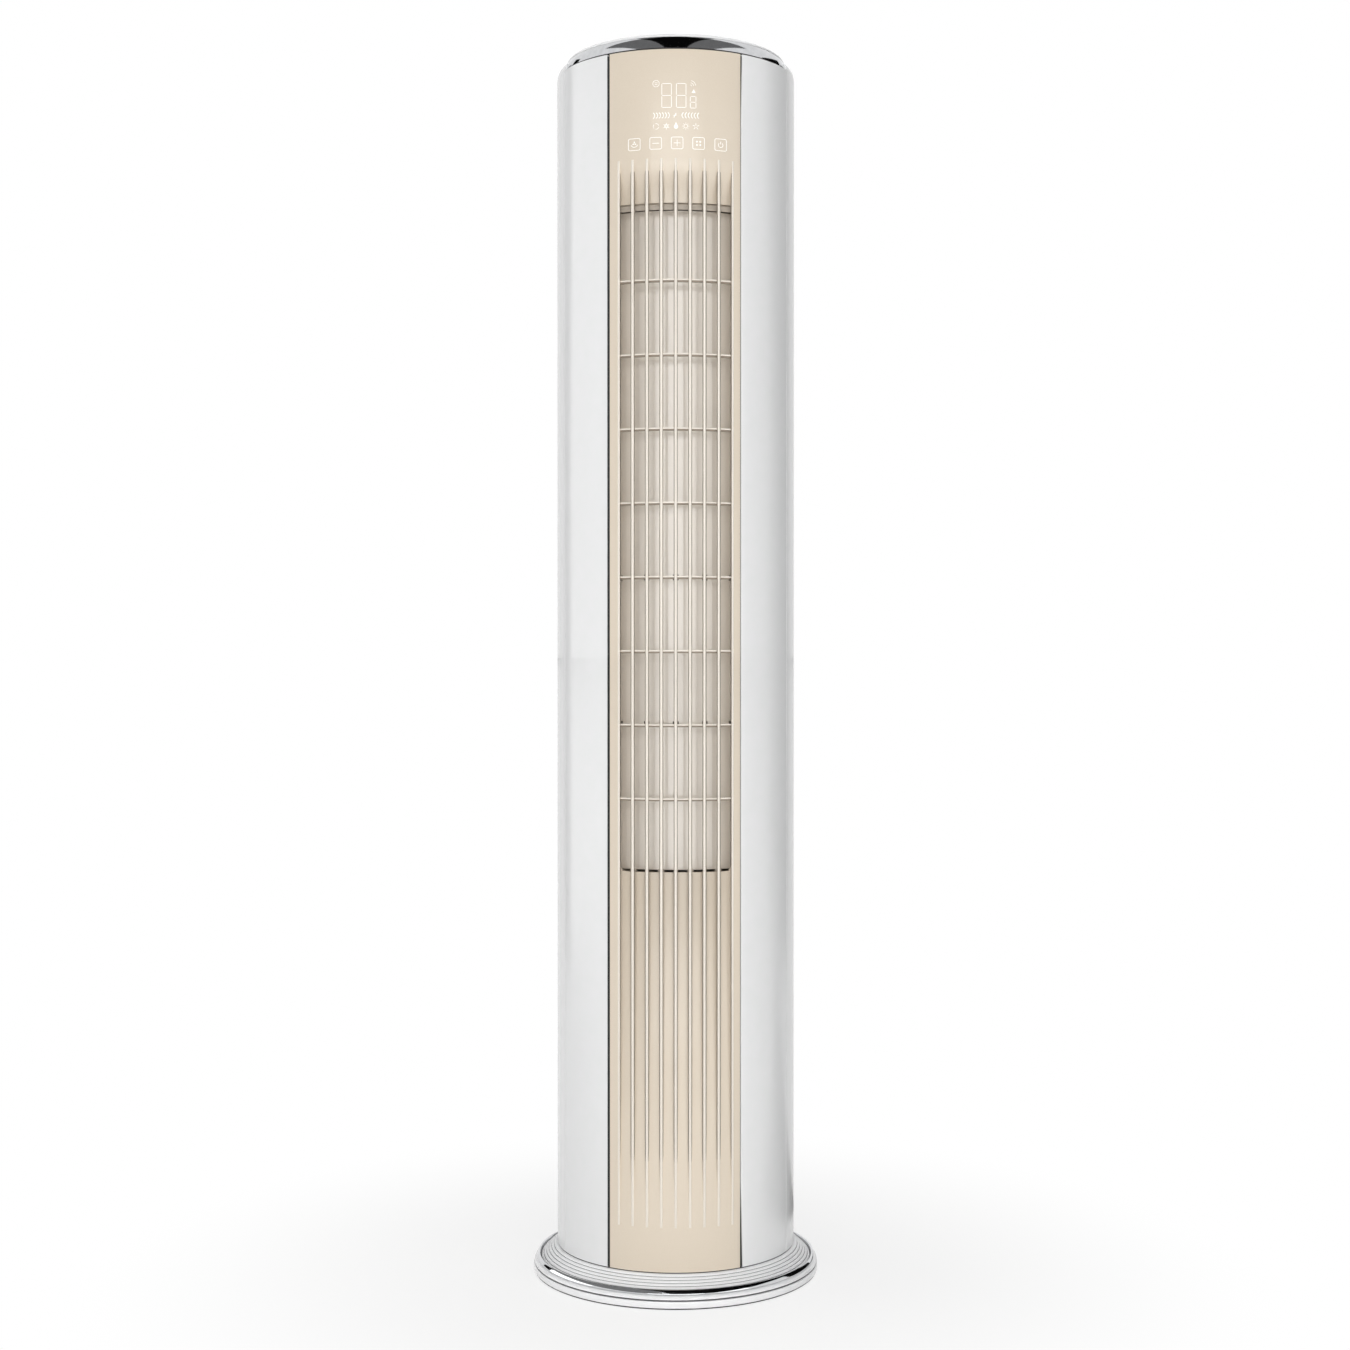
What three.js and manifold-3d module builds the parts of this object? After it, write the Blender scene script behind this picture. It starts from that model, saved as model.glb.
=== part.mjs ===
import * as THREE from 'three';
import { mergeVertices } from 'three/addons/utils/BufferGeometryUtils.js';
import Module from 'manifold-3d';

const wasm = await Module();
wasm.setup();

// Floor standing tower air conditioner. Millimetres and degrees, +Z up, origin on the floor
// under the column's axis. The front faces -Y. Angles turn from the front towards +X.

// Fits and facets
const fullTurn = 360;
const seat = 0.3; // gap between a piece and what carries it
const slip = 0.5; // radial clearance of a pin in its hole
const facetCount = 32; // facets round a full turn of the rings and shells
const pinFacets = 8; // facets round a pin or a small hole
const tubeFacets = 6; // facets round a bent tube
const overlap = 1; // how far a tool runs past the face that it cuts
const edgeBevel = 1; // on small moulded rims

// Base
const baseRadius = 210;
const footProud = 2; // how far the pads stand out below the rim
const footRadius = 13;
const footInset = 38; // from the rim to the middle of a foot
const footCount = 4;
const footThickness = 4.7;
const plateThickness = 2; // sheet of the base plate
const rimHeight = 20;
const rimStepHeight = 13; // groove between the rim's lower band and its rounded top
const rimWall = 3.5;
const rimRounding = 6.5;
const rimEdge = 1.5; // bevel at the rim's foot
const rimGroove = 0.8;
const ledgeHeight = 17.2; // ledge inside the rim that carries the trim ring and the collar
const ledgeThickness = 3;
const ledgeWidth = 17;
const baseTrimWidth = 3.8;
const baseTrimHeight = 4.5;
const baseTrimCrown = 1.5;
const collarTop = 42;
const collarFoot = 3.6; // upright edge at the collar's outside
const collarLip = 1.5; // how far the collar's slope ends outside the column
const collarGrooves = 6;
const collarGrooveDepth = 1.1;
const collarWall = 3;
const collarInset = 9; // how far the collar's top runs in under the column

// Column
const columnRadius = 175;
const panelWall = 3;
const sheetWall = 2;
const frontSeamAngle = 32.4;
const rearSeamAngle = 66.5;
const frontSeamWidth = 2.4;
const rearSeamWidth = 1;
const returnDepth = 12; // inward returns along the seams
const topReturn = 6.7; // inward return along the panels' top edges
const shoulderHeight = 11; // rounded shoulder of the rear casing above the panels
const shoulderReach = 6.7;

// Top
const overallHeight = 1784;
const capHeight = 8.4;
const trimHeight = 21.3; // of the trim ring above the panels' top edges
const trimFootDrop = 6; // how far the top trim ring runs down behind the panels
const trimWidth = 3;
const trimLean = 7.2; // how far the trim ring leans in from its foot to its top
const trimBendHeight = 13.6; // above the panels' top edges
const trimBendLean = 2.9;
const trimGap = 0.6; // round the trim ring's foot, behind the panels
const trimShelfWidth = 12; // shelf inside the trim ring that carries the cap
const capEdgeHeight = 5;
const capRounding = 8;
const capWall = 2.5;
const capSeatWidth = 14;

// Front panel: recess, ribs, outlet and crossbars
const recessMargin = 12.3; // from the recess's side to the front seam, across the front
const recessDepth = 14;
const recessTopDrop = 152; // below the panels' top edges
const recessBottom = 105;
const rampHeight = 64.6; // over which the recess curves in above the outlet
const rampSteps = 2;
const outletBottom = 602.7;
const outletCornerRadius = 14;
const ribCount = 7;
const ribPitch = 20.2;
const ribWidth = 4.4;
const ribNose = 1.3;
const lipWidth = 3.4;
const crossbarCount = 8;
const crossbarThickness = 2.4;
const crossbarSetback = 3;
const ribRoot = 1.5; // how far a rib runs into the recess floor

// Air duct, vanes and their link
const ductPlateThickness = 7;
const ductTopGap = 5.6; // from the outlet's top to the plate above it
const ductFloorGap = 5.7;
const ductWallThickness = 2.4;
const ductSectorAngle = 70; // half angle of the duct plates' wide front part
const ductCoreGap = 1.5; // between the round rear part of these plates and the drain pan
const ductWallRun = 29; // straight start of a duct wall behind the outlet's side
const tongueGap = 6; // between the fan and the end of the left duct wall
const tongueAngle = 72; // where that end stands, to the left of the front
const tongueLead = [3, 48]; // gap, as a multiple of the tongue's, and angle on the way there
const scrollGap = 18; // between the fan and the end of the right duct wall
const scrollPath = [[1.9, 75], [1.6, 105], [1.2, 135], [1, 160]]; // the same along the scroll
const wallWebGap = 2; // angle between the walls' webs and the drain pan's ends
const vaneCount = 4;
const vaneInset = 37; // from the column's outside to the vanes' pivots
const vanePitchAngle = 17.2;
const vaneGap = 1.3;
const vaneThickness = 3.2;
const vaneEdgeThickness = 1.5;
const vaneEndGap = 1.3;
const vaneNotchWidth = 3.2;
const vaneNotchHeight = 8;
const vaneNotchBars = [2, 4]; // crossbars, counted from below, that the notches sit behind
const vanePinRadius = 3;
const vaneShoulderRadius = 5;
const drivePinReach = 9; // how far the driven vane's pin stands above the upper duct plate
const crankLength = 14;
const crankThickness = 4;
const crankDrop = 3; // below the duct floor
const crankPinRadius = 2.2;
const linkThickness = 3;
const linkWidth = 9;

// Cross flow fan
const fanOffset = 30; // towards the front from the column's axis
const fanRadius = 55;
const fanBladeCount = 10;
const fanBladeChord = 15;
const fanBladeThickness = 1.6;
const fanBladeSweep = 9; // how far a blade's outer edge leads its root, round the rim
const fanDiscThickness = 3;
const fanRingCount = 1;
const fanEndGap = 12;
const fanShaftRadius = 6;
const fanTailLength = 60; // shaft below the fan's lowest disc

// Fan motor and bearing
const motorRadius = 46;
const motorHeight = 78;
const motorBevel = 6;
const motorGap = 15; // between the motor and the control box under it
const motorPlateRadius = 60;
const motorPlateThickness = 4;
const bearingRadius = 16;
const bearingHeight = 6;

// Coil, drain pan and pipes
const coilInset = 33; // from the column's outside to the coil's outer face
const coilDepth = 30;
const coilEndAngle = 76;
const coilTopGap = 8; // below the upper duct plate
const coilPlateThickness = 2;
const coilPlateMargin = 1.5;
const coilBends = 4;
const bendTubeRadius = 3.5;
const bendReach = 12; // of a return bend out of the end plate
const bendShoulder = 0.7; // share of that reach at which its rounded end starts
const panWall = 2;
const panClearance = 3;
const panDepth = 25;
const panEndAngle = 72;
const gasPipeRadius = 8;
const liquidPipeRadius = 5;
const gasPipeAngle = 64; // where the pipes stand, to the left of the front
const liquidPipeAngle = 54;
const pipeClearance = 4; // round a pipe where it passes a plate
const pipeSpread = 12; // above and below the service port's middle
const pipeTurns = [20, 25]; // angles over which a pipe leaves upright, and nears the port

// Rear intake: pockets in the casing, cassettes and filter meshes
const intakeHalfAngle = 50;
const intakeFloorGap = 25; // from the duct floor to the lower intake
const intakeTopGap = 17; // from the upper intake to the plate over the duct
const intakeMullion = 30; // casing left between the upper and the lower intake
const pocketWall = 2.4;
const pocketLedge = 6;
const cassetteGap = 1;
const cassetteDepth = 6;
const cassetteBorder = 11;
const cassetteColumns = 10;
const cassetteRows = 2;
const cassetteBar = 5;
const filterMeshThickness = 1.4;

// Frame, control box and boards
const postHalfAngle = 3.4;
const postDepth = 12;
const postWall = 2;
const shelfThickness = 2;
const boxWidth = 150;
const boxDepth = 58;
const boxHeight = 190;
const boxSetback = 63; // from the column's front
const boxWall = 1.5;
const boardThickness = 1.6;
const boardMargin = 9;
const boardGap = 1; // between a board behind the face and the panel's nearest inner point
const boardPad = 4;
const transformerProud = 29; // out from the main board
const relayProud = 15;
const transformerPlace = { left: 0.1, right: 0.42, low: 0.1, high: 0.35 }; // shares of the board
const relayPlace = { left: 0.55, right: 0.9, low: 0.55, high: 0.85 };
const standoffRadius = 3;
const capacitorRadius = 14;
const capacitorHeight = 58;
const terminalWidth = 52;
const terminalDepth = 22;
const terminalHeight = 24;
const terminalPoles = 4;
const displayBoardWidth = 96;
const displayBoardHeight = 66;
const displayBoardDrop = 38; // below the panels' top edges
const keyBoardWidth = 146;
const keyBoardHeight = 26;
const keyBoardDrop = 118;
const swingMotorRadius = 14;
const swingMotorHeight = 19;
const swingEarReach = 22;

// Service openings low in the rear casing
const portAngle = 215; // turned towards the left of the back
const portHeight = 190;
const portRadius = 32;
const portCoverRadius = 42;
const portCoverThickness = 2;
const portScrewRadius = 3.2;
const portScrewHead = 1.6;
const portScrewShank = 1.5;
const portScrewLength = 7;
const portScrewCircle = 37.5;
const glandHeight = 120;
const glandRadius = 9;
const glandFlangeRadius = 13;
const glandFlangeThickness = 3;
const glandBoreRadius = 4.5;

// ---- Heights and radii that follow from these ----

const trimTop = overallHeight - capHeight - seat;
const panelTop = trimTop - trimHeight;
const trimFootBottom = panelTop - trimFootDrop;
const recessTop = panelTop - recessTopDrop;
const outletTop = recessTop - rampHeight;
const displayBoardTop = panelTop - displayBoardDrop;
const keyBoardTop = panelTop - keyBoardDrop;

const ductFloorTop = outletBottom - ductFloorGap;
const ductFloorBottom = ductFloorTop - ductPlateThickness;
const ductTopBottom = outletTop + ductTopGap;
const ductTopTop = ductTopBottom + ductPlateThickness;
const intakeBottom = ductFloorTop + intakeFloorGap;
const intakeTop = ductTopBottom - intakeTopGap;
const motorPlateTop = ductFloorBottom - seat;
const motorTop = motorPlateTop - motorPlateThickness - seat;
const motorBottom = motorTop - motorHeight;
const boxTop = motorBottom - motorGap;
const boxBottom = boxTop - boxHeight;
const shelfTop = boxBottom - seat;
const shelfBottom = shelfTop - shelfThickness;

const returnRadius = columnRadius - returnDepth;
const cutRadius = columnRadius + returnDepth; // clear of the column's outside
const postOuter = returnRadius - seat;
const postInner = postOuter - postDepth;
const recessHalfWidth = columnRadius * Math.sin(THREE.MathUtils.degToRad(frontSeamAngle))
  - recessMargin;
const vaneCircleRadius = columnRadius - vaneInset;
const coilOuterRadius = columnRadius - coilInset;
const coilInnerRadius = coilOuterRadius - coilDepth;
const panOuter = coilOuterRadius + coilPlateMargin + panClearance + panWall;
const panInner = coilInnerRadius - coilPlateMargin - panClearance - panWall;
const ductCoreRadius = panInner - ductCoreGap;

// ---- Helpers ----

const facetAngle = fullTurn / facetCount;

// Plan point at a radius, its angle turned from the front towards +X.
function planPoint(radius, angle) {
  const turn = THREE.MathUtils.degToRad(angle);
  return new THREE.Vector2(radius * Math.sin(turn), -radius * Math.cos(turn));
}

// The same on a faceted round, where a point between two facet lines lies on their chord.
function facetPoint(radius, angle) {
  const middle = (Math.floor(angle / facetAngle) + 0.5) * facetAngle;
  const chordRadius = (radius * Math.cos(THREE.MathUtils.degToRad(facetAngle / 2)))
    / Math.cos(THREE.MathUtils.degToRad(angle - middle));
  return planPoint(chordRadius, angle);
}

// Arc with a point at each facet line that it crosses, so that nested arcs stay parallel.
function arc(radius, from, to) {
  const points = [facetPoint(radius, from)];
  const nearEnd = facetAngle / 10;
  for (let step = Math.ceil(from / facetAngle); step * facetAngle < to; step += 1) {
    const angle = step * facetAngle;
    if (angle > from + nearEnd && angle < to - nearEnd) points.push(planPoint(radius, angle));
  }
  points.push(facetPoint(radius, to));
  return points;
}

function circle(x, y, radius, facets = pinFacets) {
  return Array.from({ length: facets }, (_, i) => {
    const turn = (2 * Math.PI * i) / facets;
    return new THREE.Vector2(x + radius * Math.cos(turn), y + radius * Math.sin(turn));
  });
}

// Closed geometry to a solid, with its shared corners merged.
function solidOf(geometry) {
  const bare = geometry.clone();
  bare.deleteAttribute('normal');
  bare.deleteAttribute('uv');
  const merged = mergeVertices(bare, 1e-4);
  const corners = [];
  const index = merged.index.array;
  for (let i = 0; i < index.length; i += 3) {
    const [a, b, c] = [index[i], index[i + 1], index[i + 2]];
    if (a !== b && b !== c && c !== a) corners.push(a, b, c);
  }
  return new wasm.Manifold(new wasm.Mesh({
    numProp: 3,
    vertProperties: new Float32Array(merged.attributes.position.array),
    triVerts: new Uint32Array(corners),
  }));
}

function geometryOf(solid) {
  const mesh = solid.getMesh();
  const geometry = new THREE.BufferGeometry();
  geometry.setAttribute('position', new THREE.BufferAttribute(mesh.vertProperties, 3));
  geometry.setIndex(new THREE.BufferAttribute(mesh.triVerts, 1));
  geometry.computeVertexNormals();
  return geometry;
}

function join(first, ...others) {
  return others.reduce((whole, piece) => whole.add(piece), first);
}

function cut(body, ...tools) {
  return tools.reduce((rest, tool) => rest.subtract(tool), body);
}

// Upright prism over a plan outline.
function prism(outline, bottom, top, holes = []) {
  const shape = new THREE.Shape(outline);
  shape.holes = holes.map((hole) => new THREE.Path(hole));
  const geometry = new THREE.ExtrudeGeometry(shape, { depth: top - bottom, bevelEnabled: false });
  return solidOf(geometry.translate(0, 0, bottom));
}

// Prism along Y over an outline drawn in X and Z.
function prismAlongY(outline, near, far) {
  const shape = new THREE.Shape(outline);
  const geometry = new THREE.ExtrudeGeometry(shape, { depth: far - near, bevelEnabled: false });
  return solidOf(geometry.rotateX(Math.PI / 2).translate(0, far, 0));
}

function block(left, right, near, far, bottom, top) {
  const size = [right - left, far - near, top - bottom];
  const geometry = new THREE.BoxGeometry(...size);
  return solidOf(geometry.translate((left + right) / 2, (near + far) / 2, (bottom + top) / 2));
}

// Part of a ring between two radii, two angles and two heights.
function sector(inner, outer, from, to, bottom, top) {
  return prism([...arc(outer, from, to), ...arc(inner, from, to).reverse()], bottom, top);
}

// Body turned from a profile of [radius, height] points about an upright axis on the Y axis.
function turned(profile, facets = facetCount, y = 0) {
  const points = profile.map(([radius, height]) => new THREE.Vector2(radius, height));
  if (THREE.ShapeUtils.isClockWise(points)) points.reverse();
  const onAxis = points[0].x === 0 && points.at(-1).x === 0;
  if (!onAxis) points.push(points[0].clone());
  const geometry = new THREE.LatheGeometry(points, facets).rotateX(Math.PI / 2);
  return solidOf(geometry.translate(0, y, 0));
}

// Body with a skin over level outlines of equal counts, given from the lowest up.
function loft(levels) {
  const count = levels[0].outline.length;
  const positions = levels.flatMap(({ outline, z }) => outline.flatMap(({ x, y }) => [x, y, z]));
  const corners = [];
  for (let level = 0; level < levels.length - 1; level += 1) {
    for (let i = 0; i < count; i += 1) {
      const here = level * count + i;
      const next = level * count + (i + 1) % count;
      corners.push(here, next, next + count, here, next + count, here + count);
    }
  }
  const lid = (levels.length - 1) * count;
  for (const [a, b, c] of THREE.ShapeUtils.triangulateShape(levels[0].outline, [])) {
    corners.push(c, b, a);
  }
  for (const [a, b, c] of THREE.ShapeUtils.triangulateShape(levels.at(-1).outline, [])) {
    corners.push(lid + a, lid + b, lid + c);
  }
  const geometry = new THREE.BufferGeometry();
  geometry.setAttribute('position', new THREE.Float32BufferAttribute(positions, 3));
  geometry.setIndex(corners);
  return solidOf(geometry);
}

// Round bar along a curve through the given points.
function tube(points, radius, steps) {
  const path = new THREE.CatmullRomCurve3(points.map((point) => new THREE.Vector3(...point)));
  const section = new THREE.Shape(circle(0, 0, radius, tubeFacets));
  return solidOf(new THREE.ExtrudeGeometry(section, { steps, extrudePath: path }));
}

// Strip of even thickness along a smooth plan curve.
function strip(points, thickness, steps) {
  const curve = new THREE.SplineCurve(points.map(([x, y]) => new THREE.Vector2(x, y)));
  const left = [];
  const right = [];
  for (let step = 0; step <= steps; step += 1) {
    const middle = curve.getPoint(step / steps);
    const along = curve.getTangent(step / steps);
    const side = new THREE.Vector2(-along.y, along.x).multiplyScalar(thickness / 2);
    left.push(middle.clone().add(side));
    right.push(middle.clone().sub(side));
  }
  return [...left, ...right.reverse()];
}

const part = new THREE.Group();

function add(name, solid, material) {
  const mesh = new THREE.Mesh(geometryOf(solid), material);
  mesh.name = name;
  part.add(mesh);
}

function finish(color, roughness, metalness) {
  return new THREE.MeshStandardMaterial({ color, roughness, metalness });
}

const glossWhite = finish('#e9e9ea', 0.22, 0);
const paintedWhite = finish('#dedfe1', 0.35, 0);
const champagne = finish('#ddcfc1', 0.3, 0.1);
const ductWhite = finish('#d8cdc0', 0.5, 0);
const chrome = finish('#c9cacc', 0.08, 1);
const galvanised = finish('#b4b7b9', 0.45, 0.9);
const aluminium = finish('#c4c8cb', 0.4, 0.9);
const copper = finish('#b87346', 0.35, 1);
const blackPlastic = finish('#232426', 0.5, 0);
const darkRubber = finish('#2a2a2a', 0.85, 0);
const meshPlastic = finish('#7f868b', 0.7, 0);
const boardGreen = finish('#2f5d43', 0.55, 0);
const terminalPlastic = finish('#d9d4c3', 0.5, 0);
const fanPlastic = finish('#3a3d40', 0.5, 0);

// Quarter of an ellipse in a profile, from its upright outer end in to its level top end.
function quarter(outerRadius, low, innerRadius, high, steps) {
  return Array.from({ length: steps + 1 }, (_, step) => {
    const turn = (Math.PI / 2) * (step / steps);
    return [
      innerRadius + (outerRadius - innerRadius) * Math.cos(turn),
      low + (high - low) * Math.sin(turn),
    ];
  });
}

function angleOf(width, radius) {
  return THREE.MathUtils.radToDeg(width / radius);
}

// Round bar that points out from the column's axis at an angle and a height.
function radialBar(radius, angle, height, near, far, facets = pinFacets) {
  const geometry = new THREE.CylinderGeometry(radius, radius, far - near, facets);
  geometry.translate(0, -(near + far) / 2, 0);
  geometry.rotateZ(THREE.MathUtils.degToRad(angle));
  return solidOf(geometry.translate(0, 0, height));
}

function wedge(radius, from, to, bottom, top) {
  return prism([new THREE.Vector2(0, 0), ...arc(radius, from, to)], bottom, top);
}

// ---- Base ----

const plateBottom = footThickness + seat;
const plateTop = plateBottom + plateThickness;
const ledgeBottom = ledgeHeight - ledgeThickness;
const rimInner = baseRadius - rimWall;
const rimTopInner = baseRadius - rimRounding;
const ledgeInner = rimTopInner - ledgeWidth;

function basePlate() {
  const edge = (ledgeInner + rimInner) / 2;
  const edgeTop = ledgeBottom - seat;
  return turned([
    [0, plateBottom],
    [edge, plateBottom],
    [edge, edgeTop],
    [edge - plateThickness, edgeTop],
    [edge - plateThickness, plateTop],
    [0, plateTop],
  ]);
}

function footPad(index) {
  const { x, y } = planPoint(baseRadius - footInset, (fullTurn / footCount) * (index + 0.5));
  return prism(circle(x, y, footRadius, 2 * pinFacets), 0, footThickness);
}

function baseRim() {
  return turned([
    [rimInner, footProud],
    [baseRadius - rimEdge, footProud],
    [baseRadius, footProud + rimEdge],
    [baseRadius, rimStepHeight - rimGroove],
    [baseRadius - 2 * rimGroove, rimStepHeight],
    ...quarter(baseRadius - rimGroove, rimStepHeight + rimGroove, rimTopInner, rimHeight, 2),
    [rimTopInner, ledgeHeight],
    [ledgeInner, ledgeHeight],
    [ledgeInner, ledgeBottom],
    [rimInner, ledgeBottom],
  ]);
}

const baseTrimOuter = rimTopInner - seat;
const baseTrimInner = baseTrimOuter - baseTrimWidth;

function baseTrimRing() {
  const bottom = ledgeHeight + seat;
  const top = bottom + baseTrimHeight;
  const middle = (baseTrimOuter + baseTrimInner) / 2;
  return turned([
    [baseTrimInner, bottom],
    [baseTrimOuter, bottom],
    [baseTrimOuter, top - baseTrimCrown],
    [middle, top],
    [baseTrimInner, top - baseTrimCrown],
  ]);
}

// The collar slopes up to the column in rounded steps, one for each groove.
function baseCollar() {
  const bottom = ledgeHeight + seat;
  const outer = baseTrimInner - seat;
  const slopeLow = bottom + collarFoot;
  const slopeEnd = columnRadius + collarLip;
  const run = (outer - slopeEnd) / collarGrooves;
  const rise = (collarTop - slopeLow) / collarGrooves;
  const slopeLength = Math.hypot(run, rise);
  const steps = [];
  for (let groove = 0; groove < collarGrooves; groove += 1) {
    const radius = outer - groove * run;
    const height = slopeLow + groove * rise;
    steps.push([radius, height]);
    steps.push([
      radius - run / 3 + (collarGrooveDepth * rise) / slopeLength,
      height + rise / 3 + (collarGrooveDepth * run) / slopeLength,
    ]);
  }
  return turned([
    [outer - collarWall, bottom],
    [outer, bottom],
    ...steps,
    [slopeEnd, collarTop],
    [columnRadius - collarInset, collarTop],
    [columnRadius - collarInset, collarTop - collarWall],
    [slopeEnd - collarWall, collarTop - collarWall],
    [outer - collarWall, slopeLow - collarWall / 2],
  ]);
}

add('base_plate', basePlate(), galvanised);
for (let foot = 0; foot < footCount; foot += 1) add(`foot_pad_${foot + 1}`, footPad(foot), darkRubber);
add('base_rim', baseRim(), glossWhite);
add('base_trim_ring', baseTrimRing(), chrome);
add('base_collar', baseCollar(), paintedWhite);

// ---- Casing ----

const columnBottom = collarTop + seat;
const frontHalfSeam = angleOf(frontSeamWidth / 2, columnRadius);
const rearHalfSeam = angleOf(rearSeamWidth / 2, columnRadius);
const sheetAngle = angleOf(sheetWall, returnRadius);
const panelAngle = angleOf(panelWall, returnRadius);

// Curved panel with inward returns down both sides and along its top, clear of the trim ring.
function curvedPanel(from, to) {
  const skin = columnRadius - panelWall;
  const outline = [
    ...arc(columnRadius, from, to),
    facetPoint(returnRadius, to),
    facetPoint(returnRadius, to - panelAngle),
    ...arc(skin, from + panelAngle, to - panelAngle).reverse(),
    facetPoint(returnRadius, from + panelAngle),
    facetPoint(returnRadius, from),
  ];
  const edge = sector(columnRadius - topReturn, columnRadius - panelWall / 2, from, to,
    panelTop - panelWall, panelTop);
  const trimRoom = prism(arc(columnRadius - topReturn, 0, fullTurn).slice(0, -1), trimFootBottom - seat,
    panelTop + overlap);
  return cut(join(prism(outline, columnBottom, panelTop), edge), trimRoom);
}

// Intake openings from the lowest up, each with the heights of its lower and upper edge.
const intakeHeight = (intakeTop - intakeBottom - intakeMullion) / 2;
const intakes = [
  { name: 'lower', bottom: intakeBottom, top: intakeBottom + intakeHeight },
  { name: 'upper', bottom: intakeTop - intakeHeight, top: intakeTop },
];
const cassetteInner = columnRadius - cassetteDepth;
const ledgeRadius = cassetteInner - filterMeshThickness - 2 * seat;
const pocketInner = ledgeRadius - pocketWall;

function rearCasing() {
  const shoulderLow = panelTop - panelWall;
  const shoulderTop = panelTop + shoulderHeight;
  const shoulderInner = columnRadius - shoulderReach;
  const inside = quarter(columnRadius - sheetWall, shoulderLow, shoulderInner,
    shoulderTop - sheetWall, 2);
  const shell = turned([
    [columnRadius - sheetWall, columnBottom],
    [columnRadius, columnBottom],
    ...quarter(columnRadius, shoulderLow, shoulderInner, shoulderTop, 2),
    ...inside.reverse(),
  ]);
  const from = rearSeamAngle + rearHalfSeam;
  const front = wedge(cutRadius, -from, from, columnBottom - overlap, shoulderTop + overlap);
  let casing = cut(shell, front);
  for (const start of [from, fullTurn - from - sheetAngle]) {
    casing = join(casing, sector(returnRadius, columnRadius - sheetWall / 2, start,
      start + sheetAngle, columnBottom, trimFootBottom - seat));
  }
  for (const { bottom, top } of intakes) {
    const side = intakeHalfAngle;
    const wallSide = side + angleOf(pocketWall, ledgeRadius);
    const openSide = side - angleOf(pocketLedge, ledgeRadius);
    const pocket = sector(pocketInner, columnRadius - sheetWall / 2, 180 - wallSide, 180 + wallSide,
      bottom - pocketWall, top + pocketWall);
    const recess = sector(ledgeRadius, columnRadius + overlap, 180 - side, 180 + side, bottom, top);
    const opening = sector(pocketInner - overlap, columnRadius, 180 - openSide, 180 + openSide,
      bottom + pocketLedge, top - pocketLedge);
    casing = cut(join(casing, pocket), recess, opening);
  }
  const [near, far] = [columnRadius - returnDepth, columnRadius + overlap];
  const holes = [
    radialBar(portRadius, portAngle, portHeight, near, far, 2 * pinFacets),
    radialBar(glandRadius + slip, 180, glandHeight, near, far, 2 * pinFacets),
  ];
  for (const side of [-1, 1]) {
    holes.push(radialBar(portScrewShank + slip, portAngle, portHeight + side * portScrewCircle,
      near, far));
  }
  return cut(casing, ...holes);
}

function portCover() {
  const inner = columnRadius + seat;
  const band = turned([
    [inner, portHeight - portCoverRadius - overlap],
    [inner + portCoverThickness, portHeight - portCoverRadius - overlap],
    [inner + portCoverThickness, portHeight + portCoverRadius + overlap],
    [inner, portHeight + portCoverRadius + overlap],
  ]);
  const disc = radialBar(portCoverRadius, portAngle, portHeight, returnRadius, cutRadius,
    2 * pinFacets);
  const holes = [-1, 1].map((side) => radialBar(portScrewShank + slip, portAngle,
    portHeight + side * portScrewCircle, returnRadius, cutRadius));
  return cut(band.intersect(disc), ...holes);
}

function portScrew(side) {
  const seatRadius = columnRadius + portCoverThickness + 2 * seat;
  const height = portHeight + side * portScrewCircle;
  const head = radialBar(portScrewRadius, portAngle, height, seatRadius, seatRadius + portScrewHead);
  const shank = radialBar(portScrewShank, portAngle, height, seatRadius - portScrewLength,
    seatRadius + portScrewHead / 2);
  return join(head, shank);
}

// Gland for the supply lead, turned about the Y axis at the back.
function cableGland() {
  const face = columnRadius + seat;
  const inner = columnRadius - sheetWall - glandFlangeThickness;
  const profile = [
    [glandBoreRadius, inner],
    [glandRadius, inner],
    [glandRadius, face],
    [glandFlangeRadius, face],
    [glandFlangeRadius - edgeBevel, face + glandFlangeThickness],
    [glandBoreRadius, face + glandFlangeThickness],
    [glandBoreRadius, inner],
  ].map(([radius, y]) => new THREE.Vector2(radius, y));
  const geometry = new THREE.LatheGeometry(profile, 2 * pinFacets);
  return solidOf(geometry.translate(0, 0, glandHeight));
}

const frontPanelAngle = frontSeamAngle - frontHalfSeam;
add('rear_casing', rearCasing(), glossWhite);
add('side_panel_left', curvedPanel(-rearSeamAngle + rearHalfSeam, -frontSeamAngle - frontHalfSeam),
  glossWhite);
add('side_panel_right', curvedPanel(frontSeamAngle + frontHalfSeam, rearSeamAngle - rearHalfSeam),
  glossWhite);
add('pipe_port_cover', portCover(), paintedWhite);
add('port_screw_upper', portScrew(1), chrome);
add('port_screw_lower', portScrew(-1), chrome);
add('cable_gland', cableGland(), blackPlastic);

// ---- Front panel ----

// Y of the column's faceted front face at a place across it.
function faceY(x) {
  const angle = THREE.MathUtils.radToDeg(Math.asin(x / columnRadius));
  const low = planPoint(columnRadius, Math.floor(angle / facetAngle) * facetAngle);
  const high = planPoint(columnRadius, (Math.floor(angle / facetAngle) + 1) * facetAngle);
  return low.y + ((high.y - low.y) * (x - low.x)) / (high.x - low.x);
}

// Line across the front, set back by a depth, with a point at each facet line.
function frontLine(depth, left, right) {
  const facets = arc(columnRadius, -frontSeamAngle, frontSeamAngle).map((point) => point.x);
  const inside = facets.filter((x) => x > left + overlap && x < right - overlap);
  return [left, ...inside, right].map((x) => new THREE.Vector2(x, faceY(x) + depth));
}

function frontBand(near, far, left, right) {
  return [...frontLine(near, left, right), ...frontLine(far, left, right).reverse()];
}

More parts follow.
